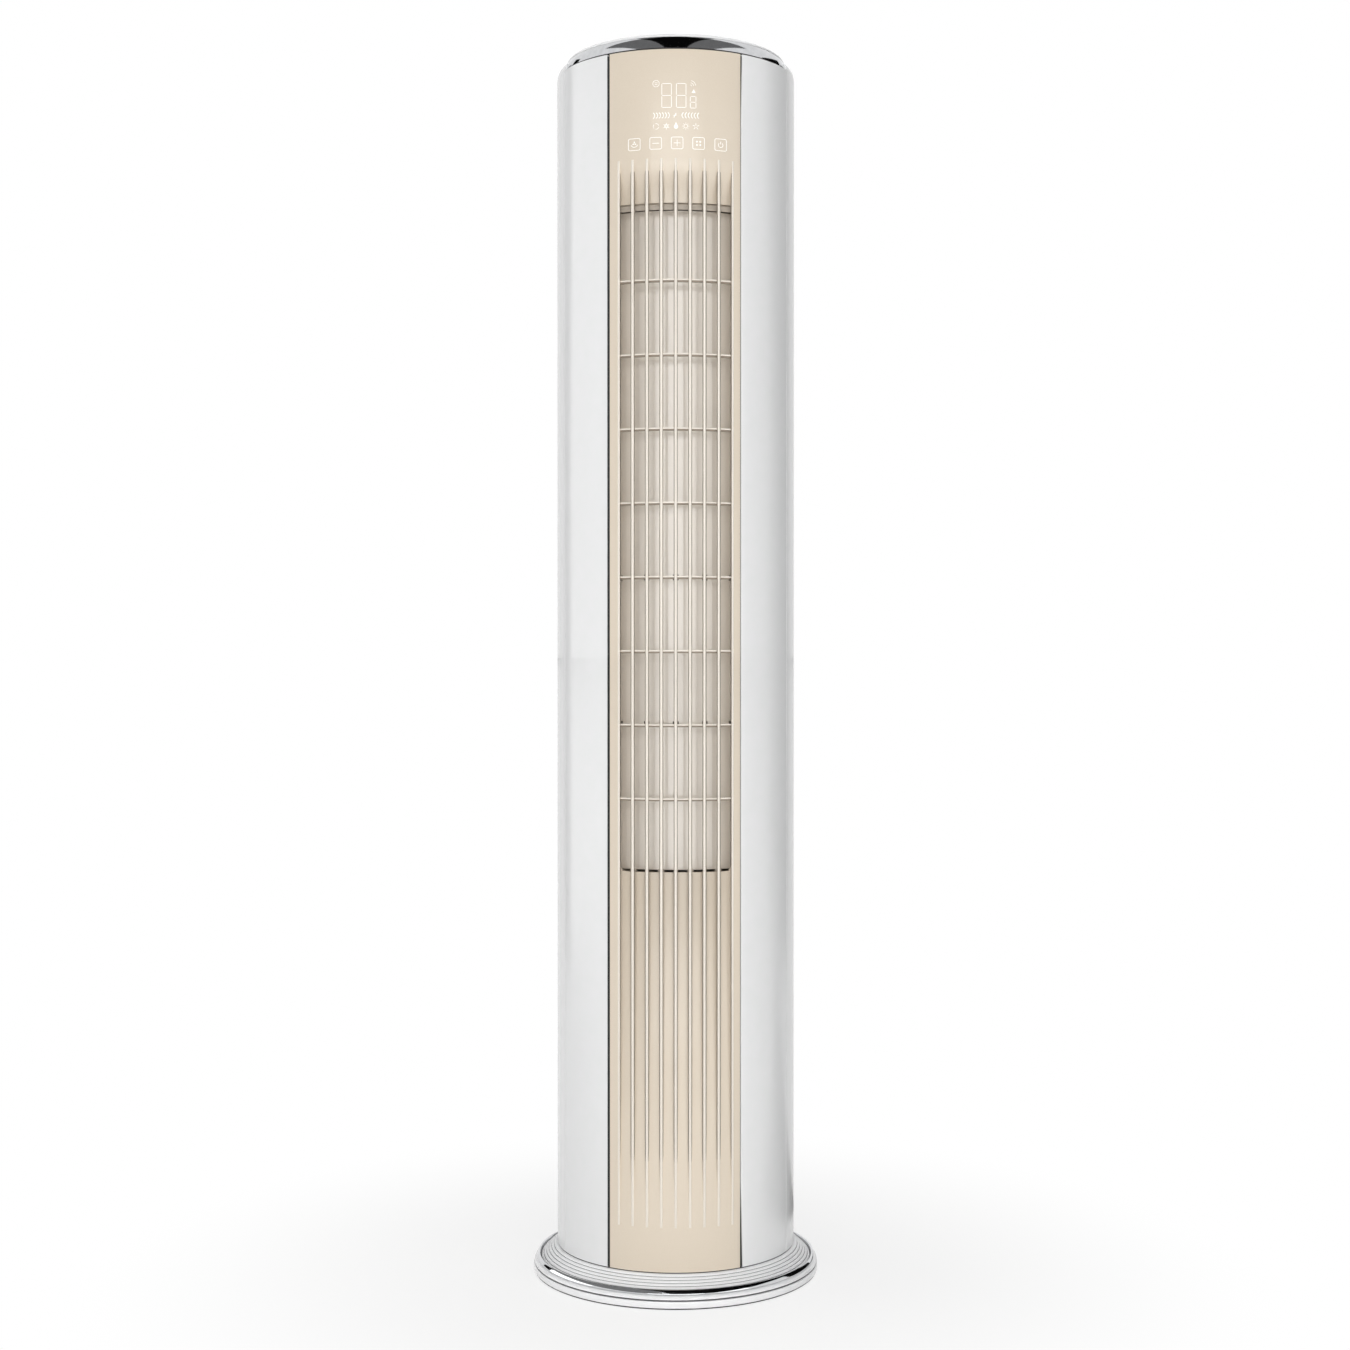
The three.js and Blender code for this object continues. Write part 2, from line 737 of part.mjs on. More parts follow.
// Depth of the recess floor: it curves in above the outlet and slopes gently out below it.
function floorDepth(z) {
  if (z > outletTop) return recessDepth * THREE.MathUtils.smoothstep(recessTop - z, 0, rampHeight);
  const slope = (z - recessBottom) / (outletBottom - recessBottom);
  return recessDepth * Math.min(1, slope);
}

const rampHeights = Array.from({ length: rampSteps + 1 }, (_, step) => (
  outletTop + (rampHeight * step) / rampSteps));
const recessHeights = [recessBottom, outletBottom, ...rampHeights];

function outletOutline() {
  const half = recessHalfWidth;
  const shape = new THREE.Shape();
  shape.moveTo(half, outletTop);
  shape.lineTo(-half, outletTop);
  shape.lineTo(-half, outletBottom + outletCornerRadius);
  shape.absarc(-half + outletCornerRadius, outletBottom + outletCornerRadius, outletCornerRadius,
    Math.PI, 1.5 * Math.PI);
  shape.absarc(half - outletCornerRadius, outletBottom + outletCornerRadius, outletCornerRadius,
    1.5 * Math.PI, 2 * Math.PI);
  const cornerSteps = 4;
  return shape.getPoints(cornerSteps);
}

// Upright bar with a bevelled nose on the face and its root in the recess floor.
function rib(x, width, nose) {
  const [left, right] = [x - width / 2, x + width / 2];
  const levels = recessHeights.map((z) => {
    const back = floorDepth(z) + ribRoot;
    const bevel = Math.min(nose, back / 2);
    return {
      z,
      outline: [
        new THREE.Vector2(left, faceY(left) + bevel),
        new THREE.Vector2(left + nose, faceY(left + nose)),
        new THREE.Vector2(right - nose, faceY(right - nose)),
        new THREE.Vector2(right, faceY(right) + bevel),
        new THREE.Vector2(right, faceY(right) + back),
        new THREE.Vector2(left, faceY(left) + back),
      ],
    };
  });
  return loft(levels);
}

const crossbarPitch = (outletTop - outletBottom) / (crossbarCount + 1);
const crossbarHeights = Array.from({ length: crossbarCount }, (_, bar) => (
  outletBottom + crossbarPitch * (bar + 1)));

function boardFront(width) {
  return faceY(width / 2) + panelWall + boardGap;
}

// Pegs on the back of the panel that a board stands on, one near each of its corners.
function standoffs(width, bottom, top) {
  const pegs = [];
  for (const x of [-width / 2 + boardMargin, width / 2 - boardMargin]) {
    for (const z of [bottom + boardMargin, top - boardMargin]) {
      const near = faceY(x) + panelWall / 2;
      const peg = circle(x, z, standoffRadius, pinFacets / 2);
      pegs.push(prismAlongY(peg, near, boardFront(width) - seat));
    }
  }
  return pegs;
}

function frontPanel() {
  const side = recessHalfWidth + panelWall;
  const skin = curvedPanel(-frontPanelAngle, frontPanelAngle);
  const backing = loft(recessHeights.map((z) => ({
    z,
    outline: frontBand(panelWall / 3, floorDepth(z) + panelWall, -side, side),
  })));
  const hollow = loft(recessHeights.map((z) => ({
    z,
    outline: frontBand(-panelWall, floorDepth(z), -recessHalfWidth, recessHalfWidth),
  })));
  const outlet = prismAlongY(outletOutline(), -cutRadius, -columnRadius / 2);
  const shell = cut(join(skin, backing), hollow, outlet);
  const bars = crossbarHeights.map((z) => prism(
    frontBand(crossbarSetback, recessDepth, -recessHalfWidth - overlap, recessHalfWidth + overlap),
    z - crossbarThickness / 2, z + crossbarThickness / 2));
  const ribs = Array.from({ length: ribCount }, (_, index) => (
    rib((index - (ribCount - 1) / 2) * ribPitch, ribWidth, ribNose)));
  const lips = [-1, 1].map((end) => (
    rib(end * (recessHalfWidth - lipWidth / 2 + seat), lipWidth, ribNose)));
  return join(shell, ...bars, ...ribs, ...lips,
    ...standoffs(displayBoardWidth, displayBoardTop - displayBoardHeight, displayBoardTop),
    ...standoffs(keyBoardWidth, keyBoardTop - keyBoardHeight, keyBoardTop));
}

function faceBoard(width, height, top) {
  const front = boardFront(width);
  return block(-width / 2, width / 2, front, front + boardThickness, top - height, top);
}

add('front_panel', frontPanel(), champagne);
add('display_board', faceBoard(displayBoardWidth, displayBoardHeight, displayBoardTop), boardGreen);
add('touch_key_board', faceBoard(keyBoardWidth, keyBoardHeight, keyBoardTop), boardGreen);

// ---- Top ----

const trimFootRadius = columnRadius - topReturn - trimGap;
const trimTopRadius = trimFootRadius - trimLean;

function topTrimRing() {
  const shelfInner = trimTopRadius - trimShelfWidth;
    return turned([
    [postInner, trimFootBottom],
    [trimFootRadius, trimFootBottom],
    [trimFootRadius, panelTop],
    [trimFootRadius - trimBendLean, panelTop + trimBendHeight],
    [trimTopRadius, trimTop],
    [shelfInner, trimTop],
    [shelfInner, trimTop - trimWidth],
    [trimTopRadius - trimWidth, trimTop - trimWidth],
    [trimFootRadius - 2 * trimWidth, trimFootBottom + trimWidth],
    [postInner, trimFootBottom + trimWidth],
  ]);
}

function topCap() {
  const bottom = trimTop + seat;
  const shoulder = bottom + capEdgeHeight;
  const inner = trimTopRadius - capSeatWidth;
  return turned([
    [0, overallHeight - capWall],
    [inner, shoulder - capWall],
    [inner, bottom],
    [trimTopRadius, bottom],
    ...quarter(trimTopRadius, bottom + capEdgeHeight / 4, trimTopRadius - capRounding, shoulder, 2),
    [0, overallHeight],
  ]);
}

add('top_trim_ring', topTrimRing(), chrome);
add('top_cap', topCap(), glossWhite);

// ---- Frame ----

// Channel that stands behind a rear seam, open towards the column's middle.
function framePost(side) {
  const middle = side * (rearSeamAngle + rearHalfSeam);
  const web = angleOf(postWall, postInner);
  const [from, to] = [middle - postHalfAngle, middle + postHalfAngle];
  const bottom = plateTop + seat;
  const top = trimFootBottom - seat;
  const outer = sector(postInner, postOuter, from, to, bottom, top);
  const inner = sector(postInner - overlap, postOuter - postWall, from + web, to - web,
    bottom - overlap, top + overlap);
  return cut(outer, inner);
}

add('frame_post_left', framePost(-1), galvanised);
add('frame_post_right', framePost(1), galvanised);

// ---- Air duct ----

const vanePivots = Array.from({ length: vaneCount }, (_, index) => {
  const angle = (index - (vaneCount - 1) / 2) * vanePitchAngle;
  return { angle, ...planPoint(vaneCircleRadius, angle) };
});
const coilMiddle = (coilInnerRadius + coilOuterRadius) / 2;
const gasPipe = { radius: gasPipeRadius, circle: coilMiddle + gasPipeRadius / 2, angle: -gasPipeAngle };
const liquidPipe = { radius: liquidPipeRadius, circle: coilMiddle - gasPipeRadius, angle: -liquidPipeAngle };

// Level plate held between the posts, reaching the front panel's inside.
function plate(bottom, top) {
  const reach = postInner - seat;
  const back = -columnRadius / 3;
  const side = recessHalfWidth + panelWall - overlap;
  const front = [...frontLine(recessDepth + panelWall + seat, -side, side),
    new THREE.Vector2(side, back), new THREE.Vector2(-side, back)];
  return join(
    prism(front, bottom, top),
    wedge(reach, -ductSectorAngle, ductSectorAngle, bottom, top),
    prism(arc(ductCoreRadius, 0, fullTurn).slice(0, -1), bottom, top),
  );
}

function pipeHoles(bottom, top) {
  return [gasPipe, liquidPipe].map((pipe) => {
    const { x, y } = planPoint(pipe.circle, pipe.angle);
    return prism(circle(x, y, pipe.radius + pipeClearance), bottom - overlap, top + overlap);
  });
}

function vanePinHoles(bottom, top) {
  return vanePivots.map(({ x, y }) => (
    prism(circle(x, y, vanePinRadius + slip), bottom - overlap, top + overlap)));
}

function ductFloor() {
  const shaftHole = prism(circle(0, -fanOffset, fanShaftRadius + 2 * slip), ductFloorBottom - overlap,
    ductFloorTop + overlap);
  return cut(plate(ductFloorBottom, ductFloorTop), shaftHole,
    ...vanePinHoles(ductFloorBottom, ductFloorTop), ...pipeHoles(ductFloorBottom, ductFloorTop));
}

function ductTop() {
  return cut(plate(ductTopBottom, ductTopTop), ...vanePinHoles(ductTopBottom, ductTopTop));
}

// Both duct walls start behind the outlet's sides. The left one ends as a tongue close to the fan.
// The right one is the scroll that leads air round the fan's back.
const wallX = recessHalfWidth + panelWall - ductWallThickness / 2;
const wallFront = faceY(recessHalfWidth + panelWall) + recessDepth + panelWall + 2 * seat;
const webEndAngle = panEndAngle - wallWebGap;

function fanPoint(clearance, angle) {
  const { x, y } = planPoint(fanRadius + clearance + ductWallThickness / 2, angle);
  return [x, y - fanOffset];
}

function ductWallLeft() {
  const bend = fanPoint(tongueGap, -tongueAngle);
  const end = planPoint(coilInnerRadius, -webEndAngle);
  const [leadGap, leadAngle] = tongueLead;
  const wall = strip([[-wallX, wallFront], [-wallX, wallFront + ductWallRun],
    fanPoint(tongueGap * leadGap, -leadAngle), bend], ductWallThickness, 14);
  const web = strip([bend, [end.x, end.y]], ductWallThickness, 1);
  const [bottom, top] = [ductFloorTop + seat, ductTopBottom - seat];
  return join(prism(wall, bottom, top), prism(web, bottom, top));
}

function ductWallRight() {
  const end = planPoint(coilInnerRadius, webEndAngle);
  const scroll = scrollPath.map(([share, angle]) => fanPoint(scrollGap * share, angle));
  const wall = strip([[wallX, wallFront], [wallX, wallFront + ductWallRun], ...scroll],
    ductWallThickness, 18);
  const web = strip([scroll[0], [end.x, end.y]], ductWallThickness, 1);
  const [bottom, top] = [ductFloorTop + seat, ductTopBottom - seat];
  return join(prism(wall, bottom, top), prism(web, bottom, top));
}

add('duct_floor_plate', ductFloor(), ductWhite);
add('duct_top_plate', ductTop(), ductWhite);
add('duct_wall_left', ductWallLeft(), ductWhite);
add('duct_wall_right', ductWallRight(), ductWhite);

// ---- Vanes and their link ----

const vaneBottom = outletBottom + vaneEndGap;
const vaneTop = outletTop - vaneEndGap;
const vanePitch = 2 * vaneCircleRadius * Math.sin(THREE.MathUtils.degToRad(vanePitchAngle / 2));
const vaneChord = vanePitch - vaneGap;
const crankTop = ductFloorBottom - crankDrop;
const crankBottom = crankTop - crankThickness;
const linkTop = crankBottom - seat;
const linkBottom = linkTop - linkThickness;
const linkPoints = vanePivots.map(({ x, y }) => new THREE.Vector2(x, y + crankLength));

// Plan outline of a bar with round ends.
function roundBar(start, end, radius) {
  const heading = Math.atan2(end.y - start.y, end.x - start.x);
  const halfSteps = 4;
  const points = [];
  for (const [centre, first] of [[end, heading - Math.PI / 2], [start, heading + Math.PI / 2]]) {
    for (let step = 0; step <= halfSteps; step += 1) {
      const turn = first + (Math.PI * step) / halfSteps;
      points.push(new THREE.Vector2(centre.x + radius * Math.cos(turn),
        centre.y + radius * Math.sin(turn)));
    }
  }
  return points;
}

function vane(index) {
  const { x, y, angle } = vanePivots[index];
  const pivot = new THREE.Vector2(x, y);
  const [half, thick, thin] = [vaneChord / 2, vaneThickness / 2, vaneEdgeThickness / 2];
  const turn = THREE.MathUtils.degToRad(angle);
  const place = ([across, out]) => (
    new THREE.Vector2(across, out).rotateAround(new THREE.Vector2(0, 0), turn).add(pivot));
  const section = [[-half, -thin], [-half / 2, -thick], [half / 2, -thick], [half, -thin],
    [half, thin], [half / 2, thick], [-half / 2, thick], [-half, thin]];
  const notches = [];
  for (const bar of vaneNotchBars) {
    const z = crossbarHeights[bar - 1];
    for (const end of [-1, 1]) {
      const corners = [[-1, -1], [1, -1], [1, 1], [-1, 1]].map(([a, b]) => (
        place([end * half + a * vaneNotchWidth, b * vaneThickness])));
      notches.push(prism(corners, z - vaneNotchHeight / 2, z + vaneNotchHeight / 2));
    }
  }
  const blade = cut(prism(section.map(place), vaneBottom, vaneTop), ...notches);
  const driven = index === 0;
  const pinTop = driven ? ductTopTop + drivePinReach : ductTopTop;
  const shoulder = circle(x, y, vaneShoulderRadius);
  const pin = circle(x, y, vanePinRadius);
  const crankEnd = linkPoints[index];
  const crankPin = circle(crankEnd.x, crankEnd.y, crankPinRadius);
  return join(blade,
    prism(shoulder, ductFloorTop + seat, vaneBottom + overlap),
    prism(pin, vaneTop - overlap, pinTop),
    prism(pin, crankBottom + crankThickness / 2, ductFloorTop + overlap),
    prism(roundBar(pivot, crankEnd, vaneShoulderRadius), crankBottom, crankTop),
    prism(crankPin, linkBottom - seat, crankBottom + overlap));
}

function vaneLink() {
  const bars = linkPoints.slice(1).map((point, index) => (
    prism(roundBar(linkPoints[index], point, linkWidth / 2), linkBottom, linkTop)));
  const holes = linkPoints.map(({ x, y }) => (
    prism(circle(x, y, crankPinRadius + slip), linkBottom - overlap, linkTop + overlap)));
  return cut(join(...bars), ...holes);
}

// Swing motor over the driven vane, on two ears that rest on the upper duct plate.
function swingMotor() {
  const [{ x, y }] = vanePivots;
  const bottom = ductTopTop + seat;
  const body = prism(circle(x, y, swingMotorRadius, 2 * pinFacets), bottom, bottom + swingMotorHeight);
  const ears = prism(roundBar(new THREE.Vector2(x - swingEarReach / 2, y),
    new THREE.Vector2(x + swingEarReach, y), vaneShoulderRadius), bottom, bottom + sheetWall);
  const bore = prism(circle(x, y, vanePinRadius + slip), bottom - overlap,
    ductTopTop + drivePinReach + overlap);
  return cut(join(body, ears), bore);
}

for (let index = 0; index < vaneCount; index += 1) add(`vane_${index + 1}`, vane(index), champagne);
add('vane_link', vaneLink(), blackPlastic);
add('swing_motor', swingMotor(), blackPlastic);

// ---- Cross flow fan, its bearing and motor ----

const fanBottom = ductFloorTop + fanEndGap;
const fanTop = ductTopBottom - fanEndGap;
const bearingBottom = ductTopBottom - bearingHeight;
const shaftBottom = fanBottom - fanTailLength;

function fan() {
  const rimRadius = fanRadius - fanBladeThickness / 2;
  const rootRadius = fanRadius - fanBladeChord;
  const discFacets = 2 * fanBladeCount;
  const blades = Array.from({ length: fanBladeCount }, (_, index) => {
    const angle = (fullTurn / fanBladeCount) * index;
    const sweep = angleOf(fanBladeSweep, fanRadius);
    const section = [
      planPoint(rootRadius, angle),
      planPoint((rootRadius + rimRadius) / 2, angle + sweep / 4),
      planPoint(rimRadius, angle + sweep),
    ].map(({ x, y }) => [x, y - fanOffset]);
    return prism(strip(section, fanBladeThickness, 2), fanBottom + fanDiscThickness / 2,
      fanTop - fanDiscThickness / 2);
  });
  const disc = (bottom, inner) => turned([
    [inner, bottom],
    [fanRadius, bottom],
    [fanRadius, bottom + fanDiscThickness],
    [inner, bottom + fanDiscThickness],
  ], discFacets, -fanOffset);
  const span = (fanTop - fanBottom - fanDiscThickness) / (fanRingCount + 1);
  const rings = Array.from({ length: fanRingCount }, (_, index) => (
    disc(fanBottom + span * (index + 1), rootRadius - fanDiscThickness)));
  const shaft = (bottom, top) => prism(circle(0, -fanOffset, fanShaftRadius), bottom, top);
  return join(disc(fanBottom, 0), disc(fanTop - fanDiscThickness, 0), ...rings, ...blades,
    shaft(shaftBottom, fanBottom + fanDiscThickness),
    shaft(fanTop - fanDiscThickness, ductTopBottom - 2 * slip - fanDiscThickness / 2));
}

function fanBearing() {
  const bore = fanShaftRadius + slip;
  const top = ductTopBottom - seat;
  return turned([
    [bore, bearingBottom],
    [bearingRadius - edgeBevel, bearingBottom],
    [bearingRadius, bearingBottom + edgeBevel],
    [bearingRadius, top],
    [bore, top],
  ], 2 * pinFacets, -fanOffset);
}

function fanMotor() {
  const bore = fanShaftRadius + slip;
  const boreBottom = shaftBottom - overlap;
  return turned([
    [0, motorBottom],
    [motorRadius - motorBevel, motorBottom],
    [motorRadius, motorBottom + motorBevel],
    [motorRadius, motorTop - motorBevel],
    [motorRadius - motorBevel, motorTop],
    [bore, motorTop],
    [bore, boreBottom],
    [0, boreBottom],
  ], 2 * pinFacets, -fanOffset);
}

function motorPlate() {
  const bore = fanShaftRadius + 2 * slip;
  const bottom = motorPlateTop - motorPlateThickness;
  return turned([
    [bore, bottom],
    [motorPlateRadius, bottom],
    [motorPlateRadius, motorPlateTop],
    [bore, motorPlateTop],
  ], 2 * pinFacets, -fanOffset);
}

add('fan', fan(), fanPlastic);
add('fan_bearing', fanBearing(), blackPlastic);
add('fan_motor', fanMotor(), galvanised);
add('motor_plate', motorPlate(), galvanised);

// ---- Coil, drain pan and pipes ----

const panTop = intakeBottom - pocketWall - seat - panWall;
const panFloor = panTop - panDepth + panWall;
const coilBottom = panFloor + seat;
const coilTop = ductTopBottom - coilTopGap;
const coilPlateAngle = angleOf(coilPlateThickness, coilOuterRadius);
const coilSeatAngle = angleOf(seat, coilInnerRadius);

function coil() {
  return sector(coilInnerRadius, coilOuterRadius, coilEndAngle, fullTurn - coilEndAngle,
    coilBottom, coilTop);
}

function coilPlate(from) {
  return sector(coilInnerRadius - coilPlateMargin, coilOuterRadius + coilPlateMargin, from,
    from + coilPlateAngle, coilBottom, coilTop + coilPlateMargin);
}

const rightPlateFrom = coilEndAngle - coilSeatAngle - coilPlateAngle;
const leftPlateFrom = fullTurn - coilEndAngle + coilSeatAngle;

// Tubes that turn back on the right end plate, from the coil's inner row to its outer row.
function returnBends() {
  const rowInset = coilDepth / 4;
  const [inner, outer] = [coilInnerRadius + rowInset, coilOuterRadius - rowInset];
  const reach = angleOf(bendReach, coilInnerRadius);
  const spacing = (coilTop - coilBottom) / coilBends;
  return Array.from({ length: coilBends }, (_, index) => {
    const z = coilBottom + spacing * (index + 0.5);
    const start = rightPlateFrom + coilPlateAngle / 2;
    const shoulder = start - reach * bendShoulder;
    const route = [[inner, start], [inner, shoulder], [coilMiddle, start - reach],
      [outer, shoulder], [outer, start]];
    const points = route.map(([radius, angle]) => {
      const { x, y } = planPoint(radius, angle);
      return [x, y, z];
    });
    return tube(points, bendTubeRadius, 5);
  });
}

function drainPan() {
  const [from, to] = [panEndAngle, fullTurn - panEndAngle];
  const end = angleOf(panWall, panInner);
  const trough = sector(panInner, panOuter, from, to, panFloor - panWall, panTop);
  const hollow = sector(panInner + panWall, panOuter - panWall, from + end, to - end, panFloor,
    panTop + overlap);
  const flange = sector(panOuter - panWall / 2, columnRadius - sheetWall - seat, from, to,
    panTop - panWall, panTop);
  return join(cut(trough, hollow), flange);
}

// Pipe from the coil's left end plate, down past the duct floor and back to the service port.
function pipe({ radius, circle: circleRadius, angle }, portOffset) {
  const leave = leftPlateFrom - fullTurn + coilPlateAngle + 3 * coilSeatAngle;
  const high = panTop + 4 * gasPipeRadius;
  const rearAngle = portAngle - fullTurn;
  const [leaveTurn, nearTurn] = pipeTurns;
  const route = [
    [circleRadius, leave, high],
    [circleRadius, leave + angleOf(gasPipeRadius, circleRadius), high],
    [circleRadius, angle, high - 3 * gasPipeRadius],
    [circleRadius, angle, ductFloorBottom - gasPipeRadius],
    [circleRadius, angle, shelfTop + gasPipeRadius],
    [circleRadius, angle, shelfBottom - gasPipeRadius],
    [circleRadius, angle - leaveTurn, portHeight + portOffset + portRadius],
    [circleRadius, rearAngle + nearTurn, portHeight + portOffset],
    [circleRadius + radius, rearAngle, portHeight + portOffset],
    [columnRadius - sheetWall, rearAngle, portHeight + portOffset],
  ];
  const points = route.map(([distance, turn, z]) => {
    const { x, y } = planPoint(distance, turn);
    return [x, y, z];
  });
  return tube(points, radius, 20);
}

add('coil', coil(), aluminium);
add('coil_plate_right', join(coilPlate(rightPlateFrom), ...returnBends()), galvanised);
add('coil_plate_left', coilPlate(leftPlateFrom), galvanised);
add('drain_pan', drainPan(), paintedWhite);
add('gas_pipe', pipe(gasPipe, pipeSpread), copper);
add('liquid_pipe', pipe(liquidPipe, -pipeSpread), copper);

// ---- Rear intake cassettes and their filter meshes ----

function cassette({ bottom, top }) {
  const side = intakeHalfAngle - angleOf(cassetteGap, columnRadius);
  const [low, high] = [bottom + cassetteGap, top - cassetteGap];
  const border = angleOf(cassetteBorder, columnRadius);
  const bar = angleOf(cassetteBar, columnRadius);
  const columnPitch = (2 * (side - border) + bar) / cassetteColumns;
  const rowPitch = (high - low - 2 * cassetteBorder + cassetteBar) / cassetteRows;
  const slots = [];
  for (let column = 0; column < cassetteColumns; column += 1) {
    const from = 180 - side + border + column * columnPitch;
    for (let row = 0; row < cassetteRows; row += 1) {
      const foot = low + cassetteBorder + row * rowPitch;
      slots.push(sector(cassetteInner - overlap, columnRadius + overlap, from,
        from + columnPitch - bar, foot, foot + rowPitch - cassetteBar));
    }
  }
  return cut(sector(cassetteInner, columnRadius, 180 - side, 180 + side, low, high), ...slots);
}

function filterMesh({ bottom, top }) {
  const side = intakeHalfAngle - angleOf(2 * cassetteGap, columnRadius);
  const inner = ledgeRadius + seat;
  return sector(inner, inner + filterMeshThickness, 180 - side, 180 + side,
    bottom + 2 * cassetteGap, top - 2 * cassetteGap);
}

for (const intake of intakes) {
  add(`filter_cassette_${intake.name}`, cassette(intake), glossWhite);
  add(`filter_mesh_${intake.name}`, filterMesh(intake), meshPlastic);
}

// ---- Control box and its parts ----

const boxFront = boxSetback - columnRadius;
const boxBack = boxFront + boxDepth;

function controlShelf() {
  const reach = postInner - seat;
  const shelf = join(
    wedge(reach, -ductSectorAngle, ductSectorAngle, shelfBottom, shelfTop),
    prism(arc(ductCoreRadius, 0, fullTurn).slice(0, -1), shelfBottom, shelfTop),
  );
  return cut(shelf, ...pipeHoles(shelfBottom, shelfTop));
}

function mainBoardEdges() {
  return {
    left: -boxWidth / 2 + boardMargin,
    right: boxWidth / 2 - boardMargin,
    bottom: boxBottom + boardMargin,
    top: boxTop - boardMargin,
    back: boxBack - boxWall - boardPad - seat,
  };
}

// Tray that is open to the front, with a pad for each corner of the main board.
function controlBox() {
  const half = boxWidth / 2;
  const outer = block(-half, half, boxFront, boxBack, boxBottom, boxTop);
  const inner = block(-half + boxWall, half - boxWall, boxFront - overlap, boxBack - boxWall,
    boxBottom + boxWall, boxTop - boxWall);
  const { left, right, bottom, top, back } = mainBoardEdges();
  const pads = [];
  for (const x of [left, right - boardMargin]) {
    for (const z of [bottom, top - boardMargin]) {
      pads.push(block(x, x + boardMargin, back + seat, boxBack - boxWall / 2, z, z + boardMargin));
    }
  }
  return join(cut(outer, inner), ...pads);
}

// Board with its transformer and its row of relays.
function mainBoard() {
  const { left, right, bottom, top, back } = mainBoardEdges();
  const front = back - boardThickness;
  const height = top - bottom;
  const width = right - left;
  const standing = (place, proud) => block(left + width * place.left, left + width * place.right,
    front - proud, front + boardThickness / 2, bottom + height * place.low,
    bottom + height * place.high);
  return join(block(left, right, front, back, bottom, top),
    standing(transformerPlace, transformerProud), standing(relayPlace, relayProud));
}

function controlCover() {
  const half = boxWidth / 2;
  const near = boxFront - seat - boxWall;
  return block(-half, half, near, boxFront - seat, boxBottom, boxTop);
}

const behindBox = boxBack + terminalDepth + cassetteBorder;

function capacitor() {
  const x = -boxWidth / 4;
  return join(
    prism(circle(x, behindBox, capacitorRadius, 2 * pinFacets), boxBottom, boxBottom + capacitorHeight),
    prism(circle(x, behindBox, capacitorRadius / 2), boxBottom, boxBottom + capacitorHeight + boardPad),
  );
}

// Row of screw wells for the supply and the link to the outdoor unit.
function terminalBlock() {
  const x = boxWidth / 4;
  const half = terminalWidth / 2;
  const pole = terminalWidth / terminalPoles;
  const body = block(x - half, x + half, behindBox - terminalDepth / 2, behindBox + terminalDepth / 2,
    boxBottom, boxBottom + terminalHeight);
  const wells = Array.from({ length: terminalPoles }, (_, index) => prism(
    circle(x - half + pole * (index + 0.5), behindBox, pole / 3),
    boxBottom + terminalHeight / 2, boxBottom + terminalHeight + overlap));
  return cut(body, ...wells);
}

add('control_shelf', controlShelf(), galvanised);
add('control_box', controlBox(), galvanised);
add('control_box_cover', controlCover(), galvanised);
add('main_board', mainBoard(), boardGreen);
add('capacitor', capacitor(), aluminium);
add('terminal_block', terminalBlock(), terminalPlastic);

export default part;
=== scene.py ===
import math

import bpy
import bmesh
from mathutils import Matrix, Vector


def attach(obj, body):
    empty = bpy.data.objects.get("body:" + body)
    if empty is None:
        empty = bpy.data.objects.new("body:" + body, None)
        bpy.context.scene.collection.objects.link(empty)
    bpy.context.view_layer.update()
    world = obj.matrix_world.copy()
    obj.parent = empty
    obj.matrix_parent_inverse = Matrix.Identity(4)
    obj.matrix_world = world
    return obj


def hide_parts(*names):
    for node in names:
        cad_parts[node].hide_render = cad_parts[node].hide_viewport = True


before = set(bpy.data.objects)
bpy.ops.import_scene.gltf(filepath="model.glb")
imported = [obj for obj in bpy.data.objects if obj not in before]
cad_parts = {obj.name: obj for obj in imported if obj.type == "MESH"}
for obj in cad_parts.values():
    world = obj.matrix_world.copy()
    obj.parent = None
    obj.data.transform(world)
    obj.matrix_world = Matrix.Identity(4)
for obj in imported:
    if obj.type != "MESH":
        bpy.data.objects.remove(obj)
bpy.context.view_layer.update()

print("frame loaded,", len(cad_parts), "solids")

mm = 0.001
upright = (math.pi / 2, 0, 0)  # turns a flat primitive to face the front
hair = 0.01 * mm  # how far a point may lie off a line and still count as on it

# The photograph is square, taken level from about 3 m away at half the column's height.
cameraView = {"place": (-0.001, -3.0529, 0.9042), "lens": 54.88, "sensor": 36.0, "down": 0.474}


def addCamera(view):
    data = bpy.data.cameras.new("productCamera")
    data.lens = view["lens"]
    data.sensor_width = view["sensor"]
    data.sensor_fit = "HORIZONTAL"
    data.clip_end = 50
    camera = bpy.data.objects.new("productCamera", data)
    camera.location = view["place"]
    camera.rotation_euler = (math.pi / 2 - math.radians(view["down"]), 0, 0)
    bpy.context.scene.collection.objects.link(camera)
    bpy.context.scene.camera = camera


addCamera(cameraView)
print("camera set")


# Everyday moves in the modelling

def deselectAll():
    for thing in list(bpy.context.selected_objects):
        thing.select_set(False)
    bpy.context.view_layer.objects.active = None


def useOnly(piece):
    deselectAll()
    piece.select_set(True)
    bpy.context.view_layer.objects.active = piece


def newPiece(name):
    piece = bpy.context.view_layer.objects.active
    piece.name = name
    piece.data.name = name
    return piece


def editOn(kind="VERT"):
    bpy.ops.object.mode_set(mode="EDIT")
    bpy.ops.mesh.select_mode(type=kind)


def editOff():
    bpy.ops.object.mode_set(mode="OBJECT")


def selectAll():
    bpy.ops.mesh.select_all(action="SELECT")


